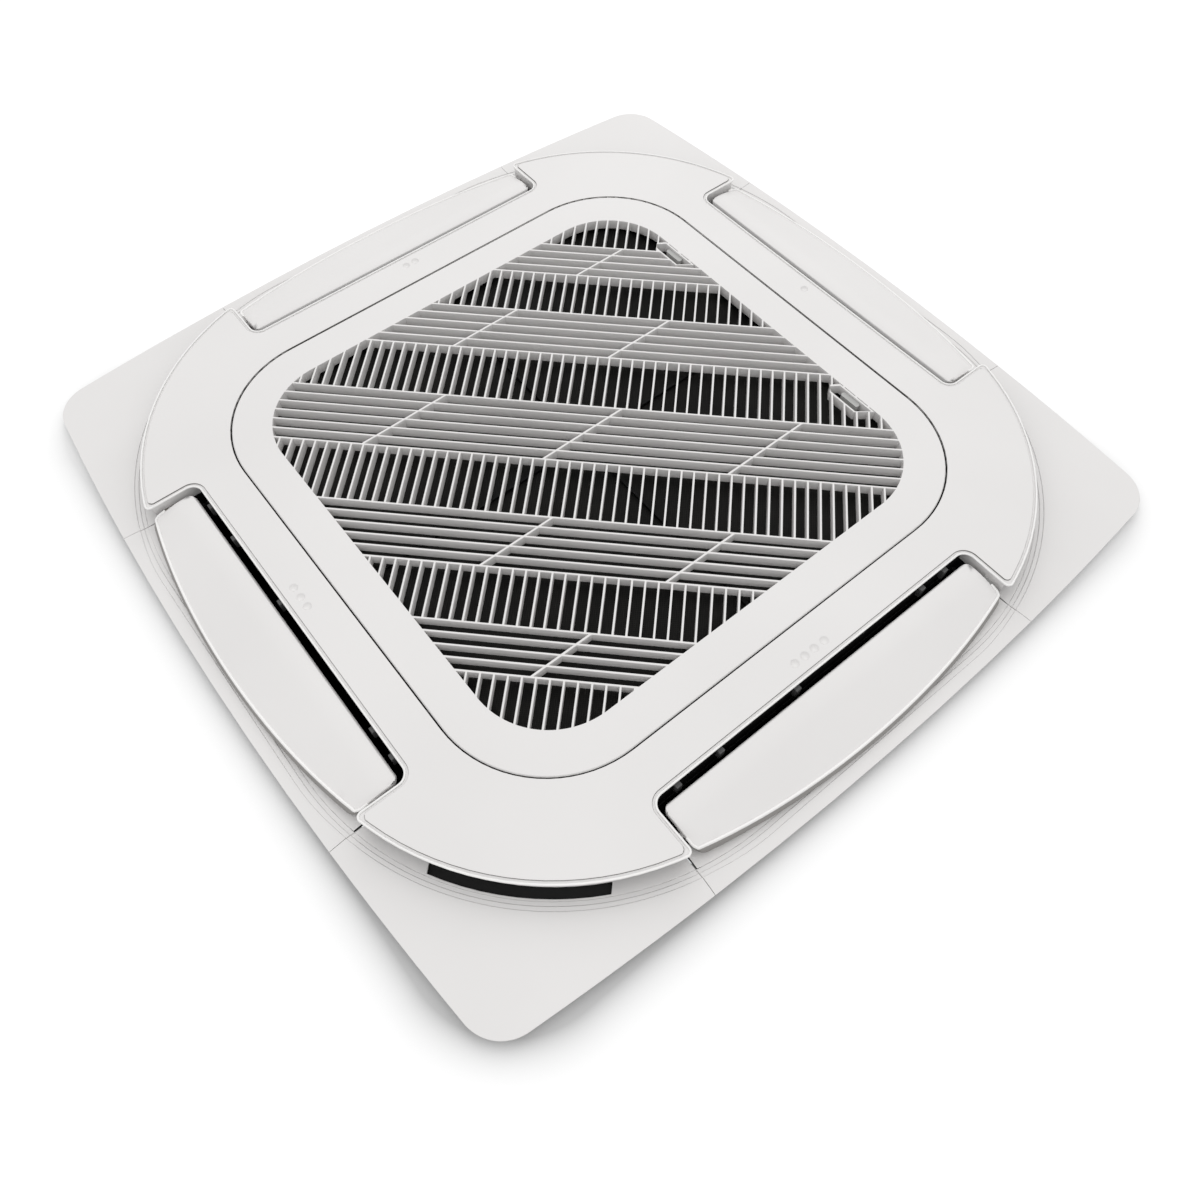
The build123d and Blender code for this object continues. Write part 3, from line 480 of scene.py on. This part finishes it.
zincBright = finish(
    "zincBright", drawnStreaks,
    {"Base": tint(0.66, 0.665, 0.67), "Shade": tint(0.5, 0.51, 0.52),
     "Stretch": (60.0, 700.0, 700.0), "Gloss Low": 0.22, "Gloss High": 0.42},
    metal=1.0, bump=0.04,
)
finMetal = finish(
    "finMetal", drawnStreaks,
    {"Base": tint(0.7, 0.72, 0.74), "Shade": tint(0.3, 0.31, 0.33),
     "Stretch": (800.0, 800.0, 20.0), "Gloss Low": 0.3, "Gloss High": 0.5},
    metal=1.0, bump=0.5,
)
copperTube = finish(
    "copperTube", drawnStreaks,
    {"Base": tint(0.72, 0.36, 0.22), "Shade": tint(0.5, 0.23, 0.14),
     "Stretch": (30.0, 500.0, 500.0), "Gloss Low": 0.2, "Gloss High": 0.42},
    metal=1.0, bump=0.04,
)
brassNut = finish(
    "brassNut", drawnStreaks,
    {"Base": tint(0.72, 0.52, 0.24), "Shade": tint(0.55, 0.38, 0.16),
     "Stretch": (600.0, 80.0, 80.0), "Gloss Low": 0.2, "Gloss High": 0.38},
    metal=1.0, bump=0.06,
)
sealFoam = finish(
    "sealFoam", cellTones,
    {"Base": tint(0.06, 0.06, 0.062), "Shade": tint(0.035, 0.035, 0.036),
     "Cell Scale": 900.0, "Gloss Low": 0.85, "Gloss High": 0.95},
    bump=0.5,
)
filterWeave = finish(
    "filterWeave", threadWeave,
    {"Thread": tint(0.022, 0.021, 0.019), "Gap": tint(0.002, 0.002, 0.002), "Thread Scale": 140.0},
    rough=0.75, bump=0.4, Specular_IOR_Level=0.2,
)
print("materials built")

nodeFinish = {
    "panel_base": panelPlastic, "outlet_liners": blackFoamAndShade, "well_frame": frameBlackAndShade,
    "panel_deck": panelPlastic, "intake_grille": panelPlastic,
    "grille_hinge_pins": zincBright, "grille_latch_1": latchPlastic, "grille_latch_2": latchPlastic,
    "filter_frame": filterPlastic, "filter_mesh": filterWeave, "vane_bushes": latchPlastic,
    "sealing_gaskets": sealFoam, "panel_screws": zincBright, "panel_fixing_plates": zincBright,
    "cabinet_shell": zincSheet, "insulation_liner": blackFoamAndShade, "fan_motor": motorPaint,
    "motor_mounts": rubberBlack, "fan_shaft": zincBright, "turbo_fan": fanPlastic, "fan_nut": zincBright,
    "bell_mouth": fanPlastic, "coil_fins": finMetal, "coil_end_plates": zincBright, "coil_bends": copperTube,
    "drain_pan": blackFoamAndShade, "drain_plug": rubberBlack, "drain_pump": creamPlastic, "float_stem": creamPlastic,
    "float_ring": creamPlastic, "drain_socket": creamPlastic, "gas_pipe": copperTube, "liquid_pipe": copperTube,
    "flare_nuts": brassNut, "pipe_plate": zincSheet, "pipe_grommets": rubberBlack, "control_box": zincSheet,
    "control_box_cover": zincSheet, "circuit_board": boardGreen, "terminal_block": creamPlastic,
    "fan_capacitor": creamPlastic, "thermistor": rubberBlack,
}
for k in (1, 2, 3, 4):
    nodeFinish[f"corner_cover_{k}"] = panelPlastic
    nodeFinish[f"vane_{k}"] = panelPlastic
    nodeFinish[f"vane_motor_{k}"] = creamPlastic
    nodeFinish[f"hanger_bracket_{k}"] = zincBright
for name, material in nodeFinish.items():
    data = nodes[name].data
    data.materials.clear()
    data.materials.append(material)
print("finishes given to the nodes")


def keepEdges(piece, wanted):
    # leaves only the edges that pass the test
    sides = {}
    for face in piece.data.polygons:
        for key in face.edge_keys:
            sides.setdefault(key, []).append(face)
    kept = {key for key, pair in sides.items() if len(pair) == 2 and wanted(piece.data, key, pair)}
    pick(piece)
    bpy.ops.object.mode_set(mode="EDIT")
    bpy.ops.mesh.select_all(action="DESELECT")
    bpy.ops.mesh.select_mode(type="EDGE")
    bpy.ops.object.mode_set(mode="OBJECT")
    for edge in piece.data.edges:
        edge.select = tuple(sorted(edge.vertices)) not in kept
    bpy.ops.object.mode_set(mode="EDIT")
    bpy.ops.mesh.delete(type="EDGE")
    bpy.ops.object.mode_set(mode="OBJECT")
    return piece


def roundRail(rail, radius):
    # turns a run of edges into a thin round bead
    pick(rail)
    bpy.ops.object.convert(target="CURVE")
    rail = bpy.context.object
    rail.data.bevel_depth = radius
    rail.data.bevel_resolution = 2
    rail.data.use_fill_caps = True
    bpy.ops.object.convert(target="MESH")
    return bpy.context.object


# softened edges on the panel's moulded pieces, so that their rims catch the light
softened = {
    "panel_deck": {"name": "deckMoulding", "edge": 0.0006},
    "intake_grille": {"name": "grilleMoulding", "edge": 0.00035},
    "panel_base": {"name": "plateMoulding", "edge": 0.0004},
}
for node, name, edge in (("vane", "vaneBlade", 0.0009), ("corner_cover", "coverMoulding", 0.0004)):
    for k in (1, 2, 3, 4):
        softened[f"{node}_{k}"] = {"name": f"{name}{k}", "edge": edge}

sideDots = {
    "radius": 0.0048,
    "depth": 0.0022,
    "level": -0.18,
    "places": (
        (0.360, 0.0160), (0.360, 0.0024), (0.360, -0.0109), (0.360, -0.0248),
        (-0.0295, 0.360), (-0.0150, 0.360), (-0.0014, 0.360),
        (-0.360, 0.0070), (-0.360, -0.0065),
        (-0.0060, -0.360),
    ),
}


def cutDots(piece):
    # shallow dishes on each side of the deck: four, three, two and one
    dots = []
    depth = sideDots["depth"]
    ball = (sideDots["radius"] ** 2 + depth**2) / (2 * depth)
    for x, y in sideDots["places"]:
        bpy.ops.mesh.primitive_uv_sphere_add(
            segments=24, ring_count=36, radius=ball, location=(x, y, sideDots["level"] + depth - ball)
        )
        settle(bpy.context.object)
        dots.append(bpy.context.object)
    cutter = joinAll(dots)
    cut = piece.modifiers.new("dishes", "BOOLEAN")
    cut.operation = "DIFFERENCE"
    cut.solver = "EXACT"
    cut.object = cutter
    applyAll(piece)
    bpy.data.objects.remove(cutter)


# the step between the deck's face and its bead, sunk into a narrow groove whose wall is painted dark as shade
deckStep = {"level": -0.1791, "sink": 0.0006, "face": -0.17995, "top": -0.1787, "upright": 0.45}


def deepenStep(piece):
    for vertex in piece.data.vertices:
        if abs(vertex.co.z - deckStep["level"]) < levelPlay:
            vertex.co.z += deckStep["sink"]


def onStepWall(face):
    steep = abs(face.normal.z) < deckStep["upright"]
    return steep and deckStep["face"] < face.center.z < deckStep["top"]


# each vane has a rounded inner edge and slopes back from a soft bend to its outer edge;
# its front bends fully, and its back joins in towards the outer edge
vaneBend = {
    "inner": 0.386, "round": 0.0035, "sink": 0.006, "from": 0.400, "to": 0.414, "slope": 0.21,
    "back": -0.168, "blend": 0.005, "edgeFrom": 0.423, "edgeBlend": 0.017,
    "pull": 0.004, "pullFrom": 0.43, "pullLength": 0.038,
    "cuts": (0.3863, 0.3868, 0.3877, 0.3895, 0.400, 0.4035, 0.407, 0.4105, 0.414, 0.423, 0.432, 0.441, 0.450, 0.459),
    "turns": {"vane_1": 270.0, "vane_2": 180.0, "vane_3": 90.0, "vane_4": 0.0},
}


# a fine bead runs along the curved outer edge, in front of a wall painted dark as shade
vaneBead = {
    "from": 0.416, "radius": 0.0014, "inside": 0.0018, "lift": -0.0005,
    "front": 0.8, "steep": 0.75, "sliver": 1e-7, "wall": 0.423,
}


def vaneDrop(offset):
    edge = vaneBend["inner"] + vaneBend["round"]
    if offset < edge:
        back = min(edge - offset, vaneBend["round"])
        return vaneBend["sink"] + vaneBend["round"] - math.sqrt(vaneBend["round"] ** 2 - back**2)
    past = offset - vaneBend["from"]
    length = vaneBend["to"] - vaneBend["from"]
    if past <= 0:
        return vaneBend["sink"]
    if past < length:
        return vaneBend["sink"] + vaneBend["slope"] * past**2 / (2 * length)
    return vaneBend["sink"] + vaneBend["slope"] * (past - length / 2)


def bendVane(piece, turn):
    out, along = sideVectors(turn)
    pick(piece)
    for cut in vaneBend["cuts"]:
        bpy.ops.object.mode_set(mode="EDIT")
        bpy.ops.mesh.select_all(action="SELECT")
        bpy.ops.mesh.bisect(plane_co=out * cut, plane_no=out)
        bpy.ops.object.mode_set(mode="OBJECT")
    for vertex in piece.data.vertices:
        offset = vertex.co.dot(out)
        side = vertex.co.dot(along)
        low = min(max((vaneBend["back"] - vertex.co.z) / vaneBend["blend"], 0.0), 1.0)
        outward = min(max((offset - vaneBend["edgeFrom"]) / vaneBend["edgeBlend"], 0.0), 1.0)
        height = vertex.co.z + max(low, outward) * vaneDrop(offset)
        if offset > vaneBend["pullFrom"]:
            offset -= vaneBend["pull"] * ((offset - vaneBend["pullFrom"]) / vaneBend["pullLength"]) ** 2
        vertex.co = out * offset + along * side + Vector((0, 0, height))


def addVaneBead(piece, rim, turn):
    out, _ = sideVectors(turn)

    def onRim(mesh, key, pair):
        front = [f for f in pair if f.normal.z < -vaneBead["front"]]
        edge = [f for f in pair if abs(f.normal.z) < vaneBead["steep"] and f.area > vaneBead["sliver"]]
        return front and edge and all(mesh.vertices[i].co.dot(out) > vaneBead["from"] for i in key)

    rail = keepEdges(rim, onRim)
    for vertex in rail.data.vertices:
        vertex.co -= out * vaneBead["inside"]
        vertex.co.z += vaneBead["lift"]
    bead = roundRail(rail, vaneBead["radius"])
    deselectAll()
    bead.select_set(True)
    piece.select_set(True)
    bpy.context.view_layer.objects.active = piece
    bpy.ops.object.join()


# the plate's outermost strip flares a little wider
plateFlare = {
    "pieces": ("panel_base", "corner_cover_1", "corner_cover_2", "corner_cover_3", "corner_cover_4"),
    "from": 0.459, "to": 0.475, "wide": 0.0045,
}


def flarePlate(piece):
    length = plateFlare["to"] - plateFlare["from"]
    for vertex in piece.data.vertices:
        reach = max(abs(vertex.co.x), abs(vertex.co.y))
        grow = 1 + max(reach - plateFlare["from"], 0.0) / length * plateFlare["wide"] / plateFlare["to"]
        vertex.co.x *= grow
        vertex.co.y *= grow


def paintFaces(piece, material, wanted):
    # gives a second finish to the faces that pass the test
    piece.data.materials.append(material)
    index = len(piece.data.materials) - 1
    for face in piece.data.polygons:
        if wanted(face):
            face.material_index = index


def finishMoulding(piece, nodeName):
    name = softened[nodeName]["name"]
    return finishPiece(piece, name, panelPlastic, bodyOfNode[nodeName], 40.0, (nodeName,))


def makeVane(nodeName):
    # rounded first and bent afterwards, so that the bend's cuts leave no thin slivers to round
    turn = math.radians(vaneBend["turns"][nodeName])
    out, _ = sideVectors(turn)
    piece = mergedCopy(nodeName)
    rounding(piece, softened[nodeName]["edge"], angle=50.0)
    applyAll(piece)
    bendVane(piece, turn)
    plainFaces = len(piece.data.polygons)
    rim = mergedCopy(nodeName)
    bendVane(rim, turn)
    addVaneBead(piece, rim, turn)

    def onBead(face):
        return face.index >= plainFaces

    def onOuterWall(face):
        steep = abs(face.normal.z) < vaneBead["steep"]
        return not onBead(face) and steep and face.center.dot(out) > vaneBead["wall"]

    finishMoulding(piece, nodeName)
    # the bead's faces take the lighter finish, a painted highlight
    paintFaces(piece, beadHighlightPlastic, onBead)
    # painted shade on the vane's outer wall
    paintFaces(piece, rimShadePlastic, onOuterWall)


def makeMoulding(nodeName):
    piece = mergedCopy(nodeName)
    if nodeName in plateFlare["pieces"]:
        flarePlate(piece)
    if nodeName == "panel_deck":
        deepenStep(piece)
        cutDots(piece)
    rounding(piece, softened[nodeName]["edge"])
    finishMoulding(piece, nodeName)
    if nodeName == "panel_deck":
        # painted shade on the step's wall
        paintFaces(piece, stepShadePlastic, onStepWall)


for nodeName in softened:
    if nodeName in vaneBend["turns"]:
        makeVane(nodeName)
    else:
        makeMoulding(nodeName)
print("moulded pieces softened")


# the fine bead that runs round the lobes and the vane slots, on the deck's lower step, painted lighter than the deck
# as a highlight
deckBead = {"name": "deckBead", "radius": 0.00125, "lift": 0.0004, "upright": 0.1, "level": 0.9}


def makeDeckBead():
    def onStep(mesh, key, pair):
        upright = [f for f in pair if abs(f.normal.z) < deckBead["upright"]]
        level = [f for f in pair if abs(f.normal.z) > deckBead["level"]]
        flat = all(abs(mesh.vertices[i].co.z - deckStep["level"]) < levelPlay for i in key)
        return flat and upright and level and upright[0].center.z > deckStep["level"]

    rail = keepEdges(mergedCopy("panel_deck"), onStep)
    for vertex in rail.data.vertices:
        vertex.co.z += deckBead["lift"]
    bead = roundRail(rail, deckBead["radius"])
    finishPiece(bead, deckBead["name"], beadHighlightPlastic, "unit", 60.0)


makeDeckBead()
print("deck bead laid")


# the four ducts: black foam inside, whose near-black also stands in for the shade deep in the ducts,
# a white scoop where they meet the plate, white end walls and a grey lip along the inner side that is painted shade
ductScoop = {
    "name": "ductLinings", "from": 0.424, "half": 0.2165, "end": 0.2125, "endTop": -0.162,
    "lip": -0.1715, "lipAcross": 0.378,
}


def onScoop(face):
    across, along = sorted((abs(face.center.x), abs(face.center.y)), reverse=True)
    outer = across > ductScoop["from"] and along < ductScoop["half"]
    return outer or (along > ductScoop["end"] and face.center.z < ductScoop["endTop"])


def onLip(face):
    across = max(abs(face.center.x), abs(face.center.y))
    return across < ductScoop["lipAcross"] and face.center.z < ductScoop["lip"] and not onScoop(face)


def makeDuctLinings():
    lining = mergedCopy("outlet_liners")
    pick(lining)
    bpy.ops.object.mode_set(mode="EDIT")
    for level in (ductScoop["lip"], ductScoop["endTop"]):
        bpy.ops.mesh.select_all(action="SELECT")
        bpy.ops.mesh.bisect(plane_co=(0, 0, level), plane_no=(0, 0, 1))
    for out in (Vector((1, 0, 0)), Vector((0, 1, 0)), Vector((-1, 0, 0)), Vector((0, -1, 0))):
        bpy.ops.mesh.select_all(action="SELECT")
        bpy.ops.mesh.bisect(plane_co=out * ductScoop["from"], plane_no=out)
    bpy.ops.object.mode_set(mode="OBJECT")
    finishPiece(lining, ductScoop["name"], blackFoamAndShade, "unit", 30.0, ("outlet_liners",))
    paintFaces(lining, panelPlastic, onScoop)
    # painted shade on the lip along the ducts' inner side
    paintFaces(lining, slotShadePlastic, onLip)


makeDuctLinings()
print("ducts lined")


def addPlate(centre, along, up, length, width, thick):
    bpy.ops.mesh.primitive_cube_add(size=1.0)
    plate = bpy.context.object
    settle(plate)
    across = up.cross(along)
    for vertex in plate.data.vertices:
        x, y, z = vertex.co
        vertex.co = centre + along * x * length + across * y * width + up * z * thick
    return plate


# short guide ribs on the inner wall of each duct, seen through the slot, painted dark grey as shade
guideRibs = {
    "name": "guideRibs", "in": 0.3738, "out": 0.3815, "low": -0.1725, "high": -0.158, "thick": 0.007,
    "edge": 0.0008, "along": (-0.187, -0.152, 0.029, 0.131, 0.185),
}


def makeGuideRibs():
    size = guideRibs
    tall = size["high"] - size["low"]
    deep = size["out"] - size["in"]
    made = []
    for k in range(4):
        out, along = sideVectors(math.radians(90 * k))
        middle = out * (size["in"] + size["out"]) / 2 + Vector((0, 0, (size["low"] + size["high"]) / 2))
        for at in size["along"]:
            made.append(addPlate(middle + along * at, along, out, size["thick"], tall, deep))
    ribs = joinAll(made)
    rounding(ribs, size["edge"])
    finishPiece(ribs, size["name"], slotShadePlastic, "unit", 40.0)


makeGuideRibs()
print("guide ribs set")


# the cabinet's pressed beads, folded seams and sheet metal screws
cabinetPressings = {
    "name": "cabinetPressings", "half": 0.420, "cut": 0.170, "top": 0.102, "bottom": -0.138,
    "ring": 0.150, "ringStep": 0.115, "bead": 0.007, "proud": 0.0024, "taper": 0.001, "pinch": 0.55,
    "rayFrom": 0.145, "rayEnd": 0.05, "beltHalf": 0.19, "beltStep": 0.035,
    "seam": 0.018, "sheet": 0.0012, "screw": 0.0042, "screwTall": 0.003, "screwsAt": (0.93, 0.45),
}


def addBead(start, end, up):
    # a long flattened rib, pinched at its ends, lying on a face that points along "up"
    size = cabinetPressings
    run = end - start
    bpy.ops.mesh.primitive_cylinder_add(vertices=16, radius=size["bead"], depth=run.length, location=(0, 0, 0))
    bead = bpy.context.object
    settle(bead)
    along = run.normalized()
    across = up.cross(along)
    for vertex in bead.data.vertices:
        x, y, z = vertex.co
        pinch = 1.0 if abs(z) < run.length / 2 - size["taper"] else size["pinch"]
        flat = y * size["proud"] / size["bead"]
        vertex.co = (start + end) / 2 + along * z + across * x * pinch + up * flat * pinch
    return bead


def addScrew(centre, up):
    size = cabinetPressings
    bpy.ops.mesh.primitive_cylinder_add(vertices=6, radius=size["screw"], depth=size["screwTall"])
    head = bpy.context.object
    settle(head)
    turn = Vector((0, 0, 1)).rotation_difference(up)
    for vertex in head.data.vertices:
        vertex.co = centre + turn @ vertex.co
    return head


def makeCabinetPressings():
    size = cabinetPressings
    half, top, bottom, seam, sheet = (size[key] for key in ("half", "top", "bottom", "seam", "sheet"))
    upward = Vector((0, 0, 1))
    middle = (top + bottom) / 2
    made = []
    for radius in (size["ring"], size["ring"] + size["ringStep"]):
        bpy.ops.mesh.primitive_torus_add(
            major_radius=radius, minor_radius=size["bead"], major_segments=72, minor_segments=10, location=(0, 0, top)
        )
        ring = bpy.context.object
        settle(ring)
        for vertex in ring.data.vertices:
            vertex.co.z = top + (vertex.co.z - top) * size["proud"] / size["bead"]
        made.append(ring)
    for k in range(8):
        # the four long sides and, between them, the four short ones across the cut corners
        long = k % 2 == 0
        ray, along = sideVectors(math.radians(45 * k))
        face = half if long else (2 * half - size["cut"]) / math.sqrt(2)
        edge = half - size["cut"] if long else size["cut"] / math.sqrt(2)
        near, far = ray * (size["ring"] + size["rayFrom"]), ray * (face - size["rayEnd"])
        made.append(addBead(near + upward * top, far + upward * top, upward))
        folds = [upward * (top - seam / 2), upward * (bottom + seam / 2)]
        onSheet = ray * (face + sheet / 2)
        for level in folds:
            made.append(addPlate(onSheet + level, along, ray, 2 * edge, seam, sheet))
        if not long:
            continue
        seat = ray * (face + sheet)
        for side in (-1, 1):
            for at in size["screwsAt"]:
                for level in folds:
                    made.append(addScrew(seat + along * side * edge * at + level, ray))
            fold = onSheet + along * side * (edge - seam / 2) + upward * middle
            made.append(addPlate(fold, upward, ray, top - bottom - 2 * seam, seam, sheet))
        if k != 4:
            reach = along * size["beltHalf"]
            for height in (middle - size["beltStep"], middle + size["beltStep"]):
                level = ray * face + upward * height
                made.append(addBead(level - reach, level + reach, ray))
    finishPiece(joinAll(made), size["name"], zincSheet, "unit", 40.0)


makeCabinetPressings()
print("cabinet pressings laid")


# the filter's woven cloth, stretched in its frame and a little uneven
filterCloth = {
    "half": 0.2885, "corner": 0.09, "low": -0.1622, "thick": 0.0003, "rise": 0.0004, "waves": 11, "cuts": 24,
}


def makeFilterCloth():
    size = filterCloth
    bpy.ops.mesh.primitive_plane_add(size=2 * size["half"], location=(0, 0, size["low"]))
    cloth = bpy.context.object
    bpy.ops.object.mode_set(mode="EDIT")
    bpy.ops.mesh.select_all(action="SELECT")
    bpy.ops.mesh.subdivide(number_cuts=size["cuts"])
    bpy.ops.object.mode_set(mode="OBJECT")
    for vertex in cloth.data.vertices:
        x, y = vertex.co.x, vertex.co.y
        over = [max(abs(v) - size["half"] + size["corner"], 0.0) for v in (x, y)]
        reach = math.hypot(*over)
        if reach > size["corner"]:
            pull = size["corner"] / reach
            vertex.co.x = math.copysign(size["half"] - size["corner"] + over[0] * pull, x)
            vertex.co.y = math.copysign(size["half"] - size["corner"] + over[1] * pull, y)
        vertex.co.z += size["rise"] * abs(math.sin(x * size["waves"]) * math.sin(y * size["waves"]))
    thick = cloth.modifiers.new("thick", "SOLIDIFY")
    thick.thickness = size["thick"]
    finishPiece(cloth, "filterCloth", filterWeave, "grille", 40.0, ("filter_mesh",))


makeFilterCloth()
print("filter cloth stretched")


# a white board right behind the plate, seen only from the room
room = {
    "board": 6.0, "opening": 0.438, "level": -0.1432, "glow": 0.04,
    "overhead": 1.12, "sides": 0.52, "skyFrom": 0.15, "skyTo": 0.95,
}
# a painted shadow on the board, soft grey beside the plate's two near sides
paintedBoardShadow = {
    "half": 0.475, "corner": 0.105, "depth": 0.5, "reach": 0.019,
    "toward": (0.5, 0.5, 0), "from": -0.12, "to": 0.24,
}


def makePaintedBoardShadow(tree):
    # a painted shadow: soft grey painted beside the plate on the two sides away from the light
    vector, number = "ShaderNodeVectorMath", "ShaderNodeMath"

    def step(sort, action, value=None, slot=1):
        node = tree.nodes.new(sort)
        node.operation = action
        if value is not None:
            node.inputs[slot].default_value = value
        return node

    inner = paintedBoardShadow["half"] - paintedBoardShadow["corner"]
    place = tree.nodes.new("ShaderNodeTexCoord")
    flat = step(vector, "MULTIPLY", (1, 1, 0))
    folded = step(vector, "ABSOLUTE")
    past = step(vector, "SUBTRACT", (inner, inner, 0))
    outside = step(vector, "MAXIMUM", (0, 0, 0))
    length = step(vector, "LENGTH")
    gap = step(number, "SUBTRACT", paintedBoardShadow["corner"])
    clamped = step(number, "MAXIMUM", 0.0)
    faded = step(number, "DIVIDE", -paintedBoardShadow["reach"])
    fall = step(number, "EXPONENT")
    toward = step(vector, "DOT_PRODUCT", paintedBoardShadow["toward"])
    near = tree.nodes.new("ShaderNodeMapRange")
    near.inputs["From Min"].default_value = paintedBoardShadow["from"]
    near.inputs["From Max"].default_value = paintedBoardShadow["to"]
    both = step(number, "MULTIPLY")
    deep = step(number, "MULTIPLY", paintedBoardShadow["depth"])
    light = step(number, "SUBTRACT", 1.0, slot=0)
    tone = tree.nodes.new("ShaderNodeCombineColor")
    joinNodes(
        tree,
        (place.outputs["Object"], flat.inputs[0]),
        (flat.outputs["Vector"], folded.inputs[0]),
        (folded.outputs["Vector"], past.inputs[0]),
        (past.outputs["Vector"], outside.inputs[0]),
        (outside.outputs["Vector"], length.inputs[0]),
        (length.outputs["Value"], gap.inputs[0]),
        (gap.outputs["Value"], clamped.inputs[0]),
        (clamped.outputs["Value"], faded.inputs[0]),
        (faded.outputs["Value"], fall.inputs[0]),
        (place.outputs["Object"], toward.inputs[0]),
        (toward.outputs["Value"], near.inputs["Value"]),
        (fall.outputs["Value"], both.inputs[0]),
        (near.outputs["Result"], both.inputs[1]),
        (both.outputs["Value"], deep.inputs[0]),
        (deep.outputs["Value"], light.inputs[1]),
        (light.outputs["Value"], tone.inputs["Red"]),
        (light.outputs["Value"], tone.inputs["Green"]),
        (light.outputs["Value"], tone.inputs["Blue"]),
    )
    return tone.outputs["Color"]


def makeCeiling():
    bpy.ops.mesh.primitive_plane_add(size=room["board"], location=(0, 0, room["level"]), rotation=(math.pi, 0, 0))
    board = bpy.context.object
    settle(board)
    bpy.ops.object.mode_set(mode="EDIT")
    bpy.ops.mesh.select_all(action="SELECT")
    bpy.ops.mesh.inset(thickness=room["board"] / 2 - room["opening"])
    bpy.ops.mesh.delete(type="FACE")
    bpy.ops.object.mode_set(mode="OBJECT")
    board.name = "ceilingBoard"
    material = bpy.data.materials.new("ceilingPaint")
    material.use_nodes = True
    tree = material.node_tree
    shader = tree.nodes["Principled BSDF"]
    shader.inputs["Roughness"].default_value = 0.9
    shader.inputs["Specular IOR Level"].default_value = 0.0
    shader.inputs["Emission Color"].default_value = (1, 1, 1, 1)
    shader.inputs["Emission Strength"].default_value = room["glow"]
    shade = makePaintedBoardShadow(tree)
    joinNodes(tree, (shade, shader.inputs["Base Color"]))
    clear = tree.nodes.new("ShaderNodeBsdfTransparent")
    side = tree.nodes.new("ShaderNodeNewGeometry")
    choose = tree.nodes.new("ShaderNodeMixShader")
    out = tree.nodes["Material Output"]
    joinNodes(
        tree,
        (side.outputs["Backfacing"], choose.inputs["Fac"]),
        (shader.outputs["BSDF"], choose.inputs[1]),
        (clear.outputs["BSDF"], choose.inputs[2]),
        (choose.outputs["Shader"], out.inputs["Surface"]),
    )
    board.data.materials.append(material)


def makeWorld():
    world = bpy.data.worlds.new("whiteRoom")
    world.use_nodes = True
    tree = world.node_tree
    plain = tree.nodes["Background"]
    plain.inputs["Color"].default_value = (1, 1, 1, 1)
    place = tree.nodes.new("ShaderNodeTexCoord")
    overhead = tree.nodes.new("ShaderNodeVectorMath")
    overhead.operation = "DOT_PRODUCT"
    overhead.inputs[1].default_value = (0, 0, -1)
    spread = tree.nodes.new("ShaderNodeMapRange")
    spread.inputs["From Min"].default_value = room["skyFrom"]
    spread.inputs["From Max"].default_value = room["skyTo"]
    spread.inputs["To Min"].default_value = room["sides"]
    spread.inputs["To Max"].default_value = room["overhead"]
    joinNodes(
        tree,
        (place.outputs["Generated"], overhead.inputs[0]),
        (overhead.outputs["Value"], spread.inputs["Value"]),
        (spread.outputs["Result"], plain.inputs["Strength"]),
    )
    seen = tree.nodes.new("ShaderNodeBackground")
    seen.inputs["Color"].default_value = (1, 1, 1, 1)
    seen.inputs["Strength"].default_value = 1.0
    path = tree.nodes.new("ShaderNodeLightPath")
    twoRays = tree.nodes.new("ShaderNodeMath")
    twoRays.operation = "MAXIMUM"
    anyRay = tree.nodes.new("ShaderNodeMath")
    anyRay.operation = "MAXIMUM"
    choose = tree.nodes.new("ShaderNodeMixShader")
    joinNodes(
        tree,
        (path.outputs["Is Camera Ray"], twoRays.inputs[0]),
        (path.outputs["Is Glossy Ray"], twoRays.inputs[1]),
        (twoRays.outputs[0], anyRay.inputs[0]),
        (path.outputs["Is Transmission Ray"], anyRay.inputs[1]),
        (anyRay.outputs[0], choose.inputs["Fac"]),
        (plain.outputs["Background"], choose.inputs[1]),
        (seen.outputs["Background"], choose.inputs[2]),
        (choose.outputs["Shader"], tree.nodes["World Output"].inputs["Surface"]),
    )
    scene.world = world


sun = {"toward": (0.62, 0.55, 0.75), "strength": 0.5, "spread": 45.0}
lamps = {
    "keyLamp": {"place": (1.5, 1.4, -1.9), "size": 1.8, "power": 0.8},
    "fillLamp": {"place": (0.2, 0.0, -3.0), "size": 2.4, "power": 2.0},
    "topLamp": {"place": (-1.2, 1.6, 2.6), "size": 2.0, "power": 22.0},
    "topFill": {"place": (2.2, -1.4, 1.6), "size": 2.0, "power": 12.0},
}
lampsAim = (0, 0, -0.1)


def makeSun():
    data = bpy.data.lights.new("softSun", "SUN")
    data.energy = sun["strength"]
    data.angle = math.radians(sun["spread"])
    light = bpy.data.objects.new("softSun", data)
    scene.collection.objects.link(light)
    light.rotation_mode = "QUATERNION"
    light.rotation_quaternion = Vector(sun["toward"]).to_track_quat("-Z", "Y")


def makeLamps():
    for name, lamp in lamps.items():
        data = bpy.data.lights.new(name, "AREA")
        data.size = lamp["size"]
        data.energy = lamp["power"]
        light = bpy.data.objects.new(name, data)
        scene.collection.objects.link(light)
        place = Vector(lamp["place"])
        toward = Vector(lampsAim) - place
        light.rotation_mode = "QUATERNION"
        light.rotation_quaternion = toward.to_track_quat("-Z", "Y")
        light.location = place


makeCeiling()
makeWorld()
makeSun()
makeLamps()
scene.view_settings.view_transform = "Standard"
print("stage and lamps set")
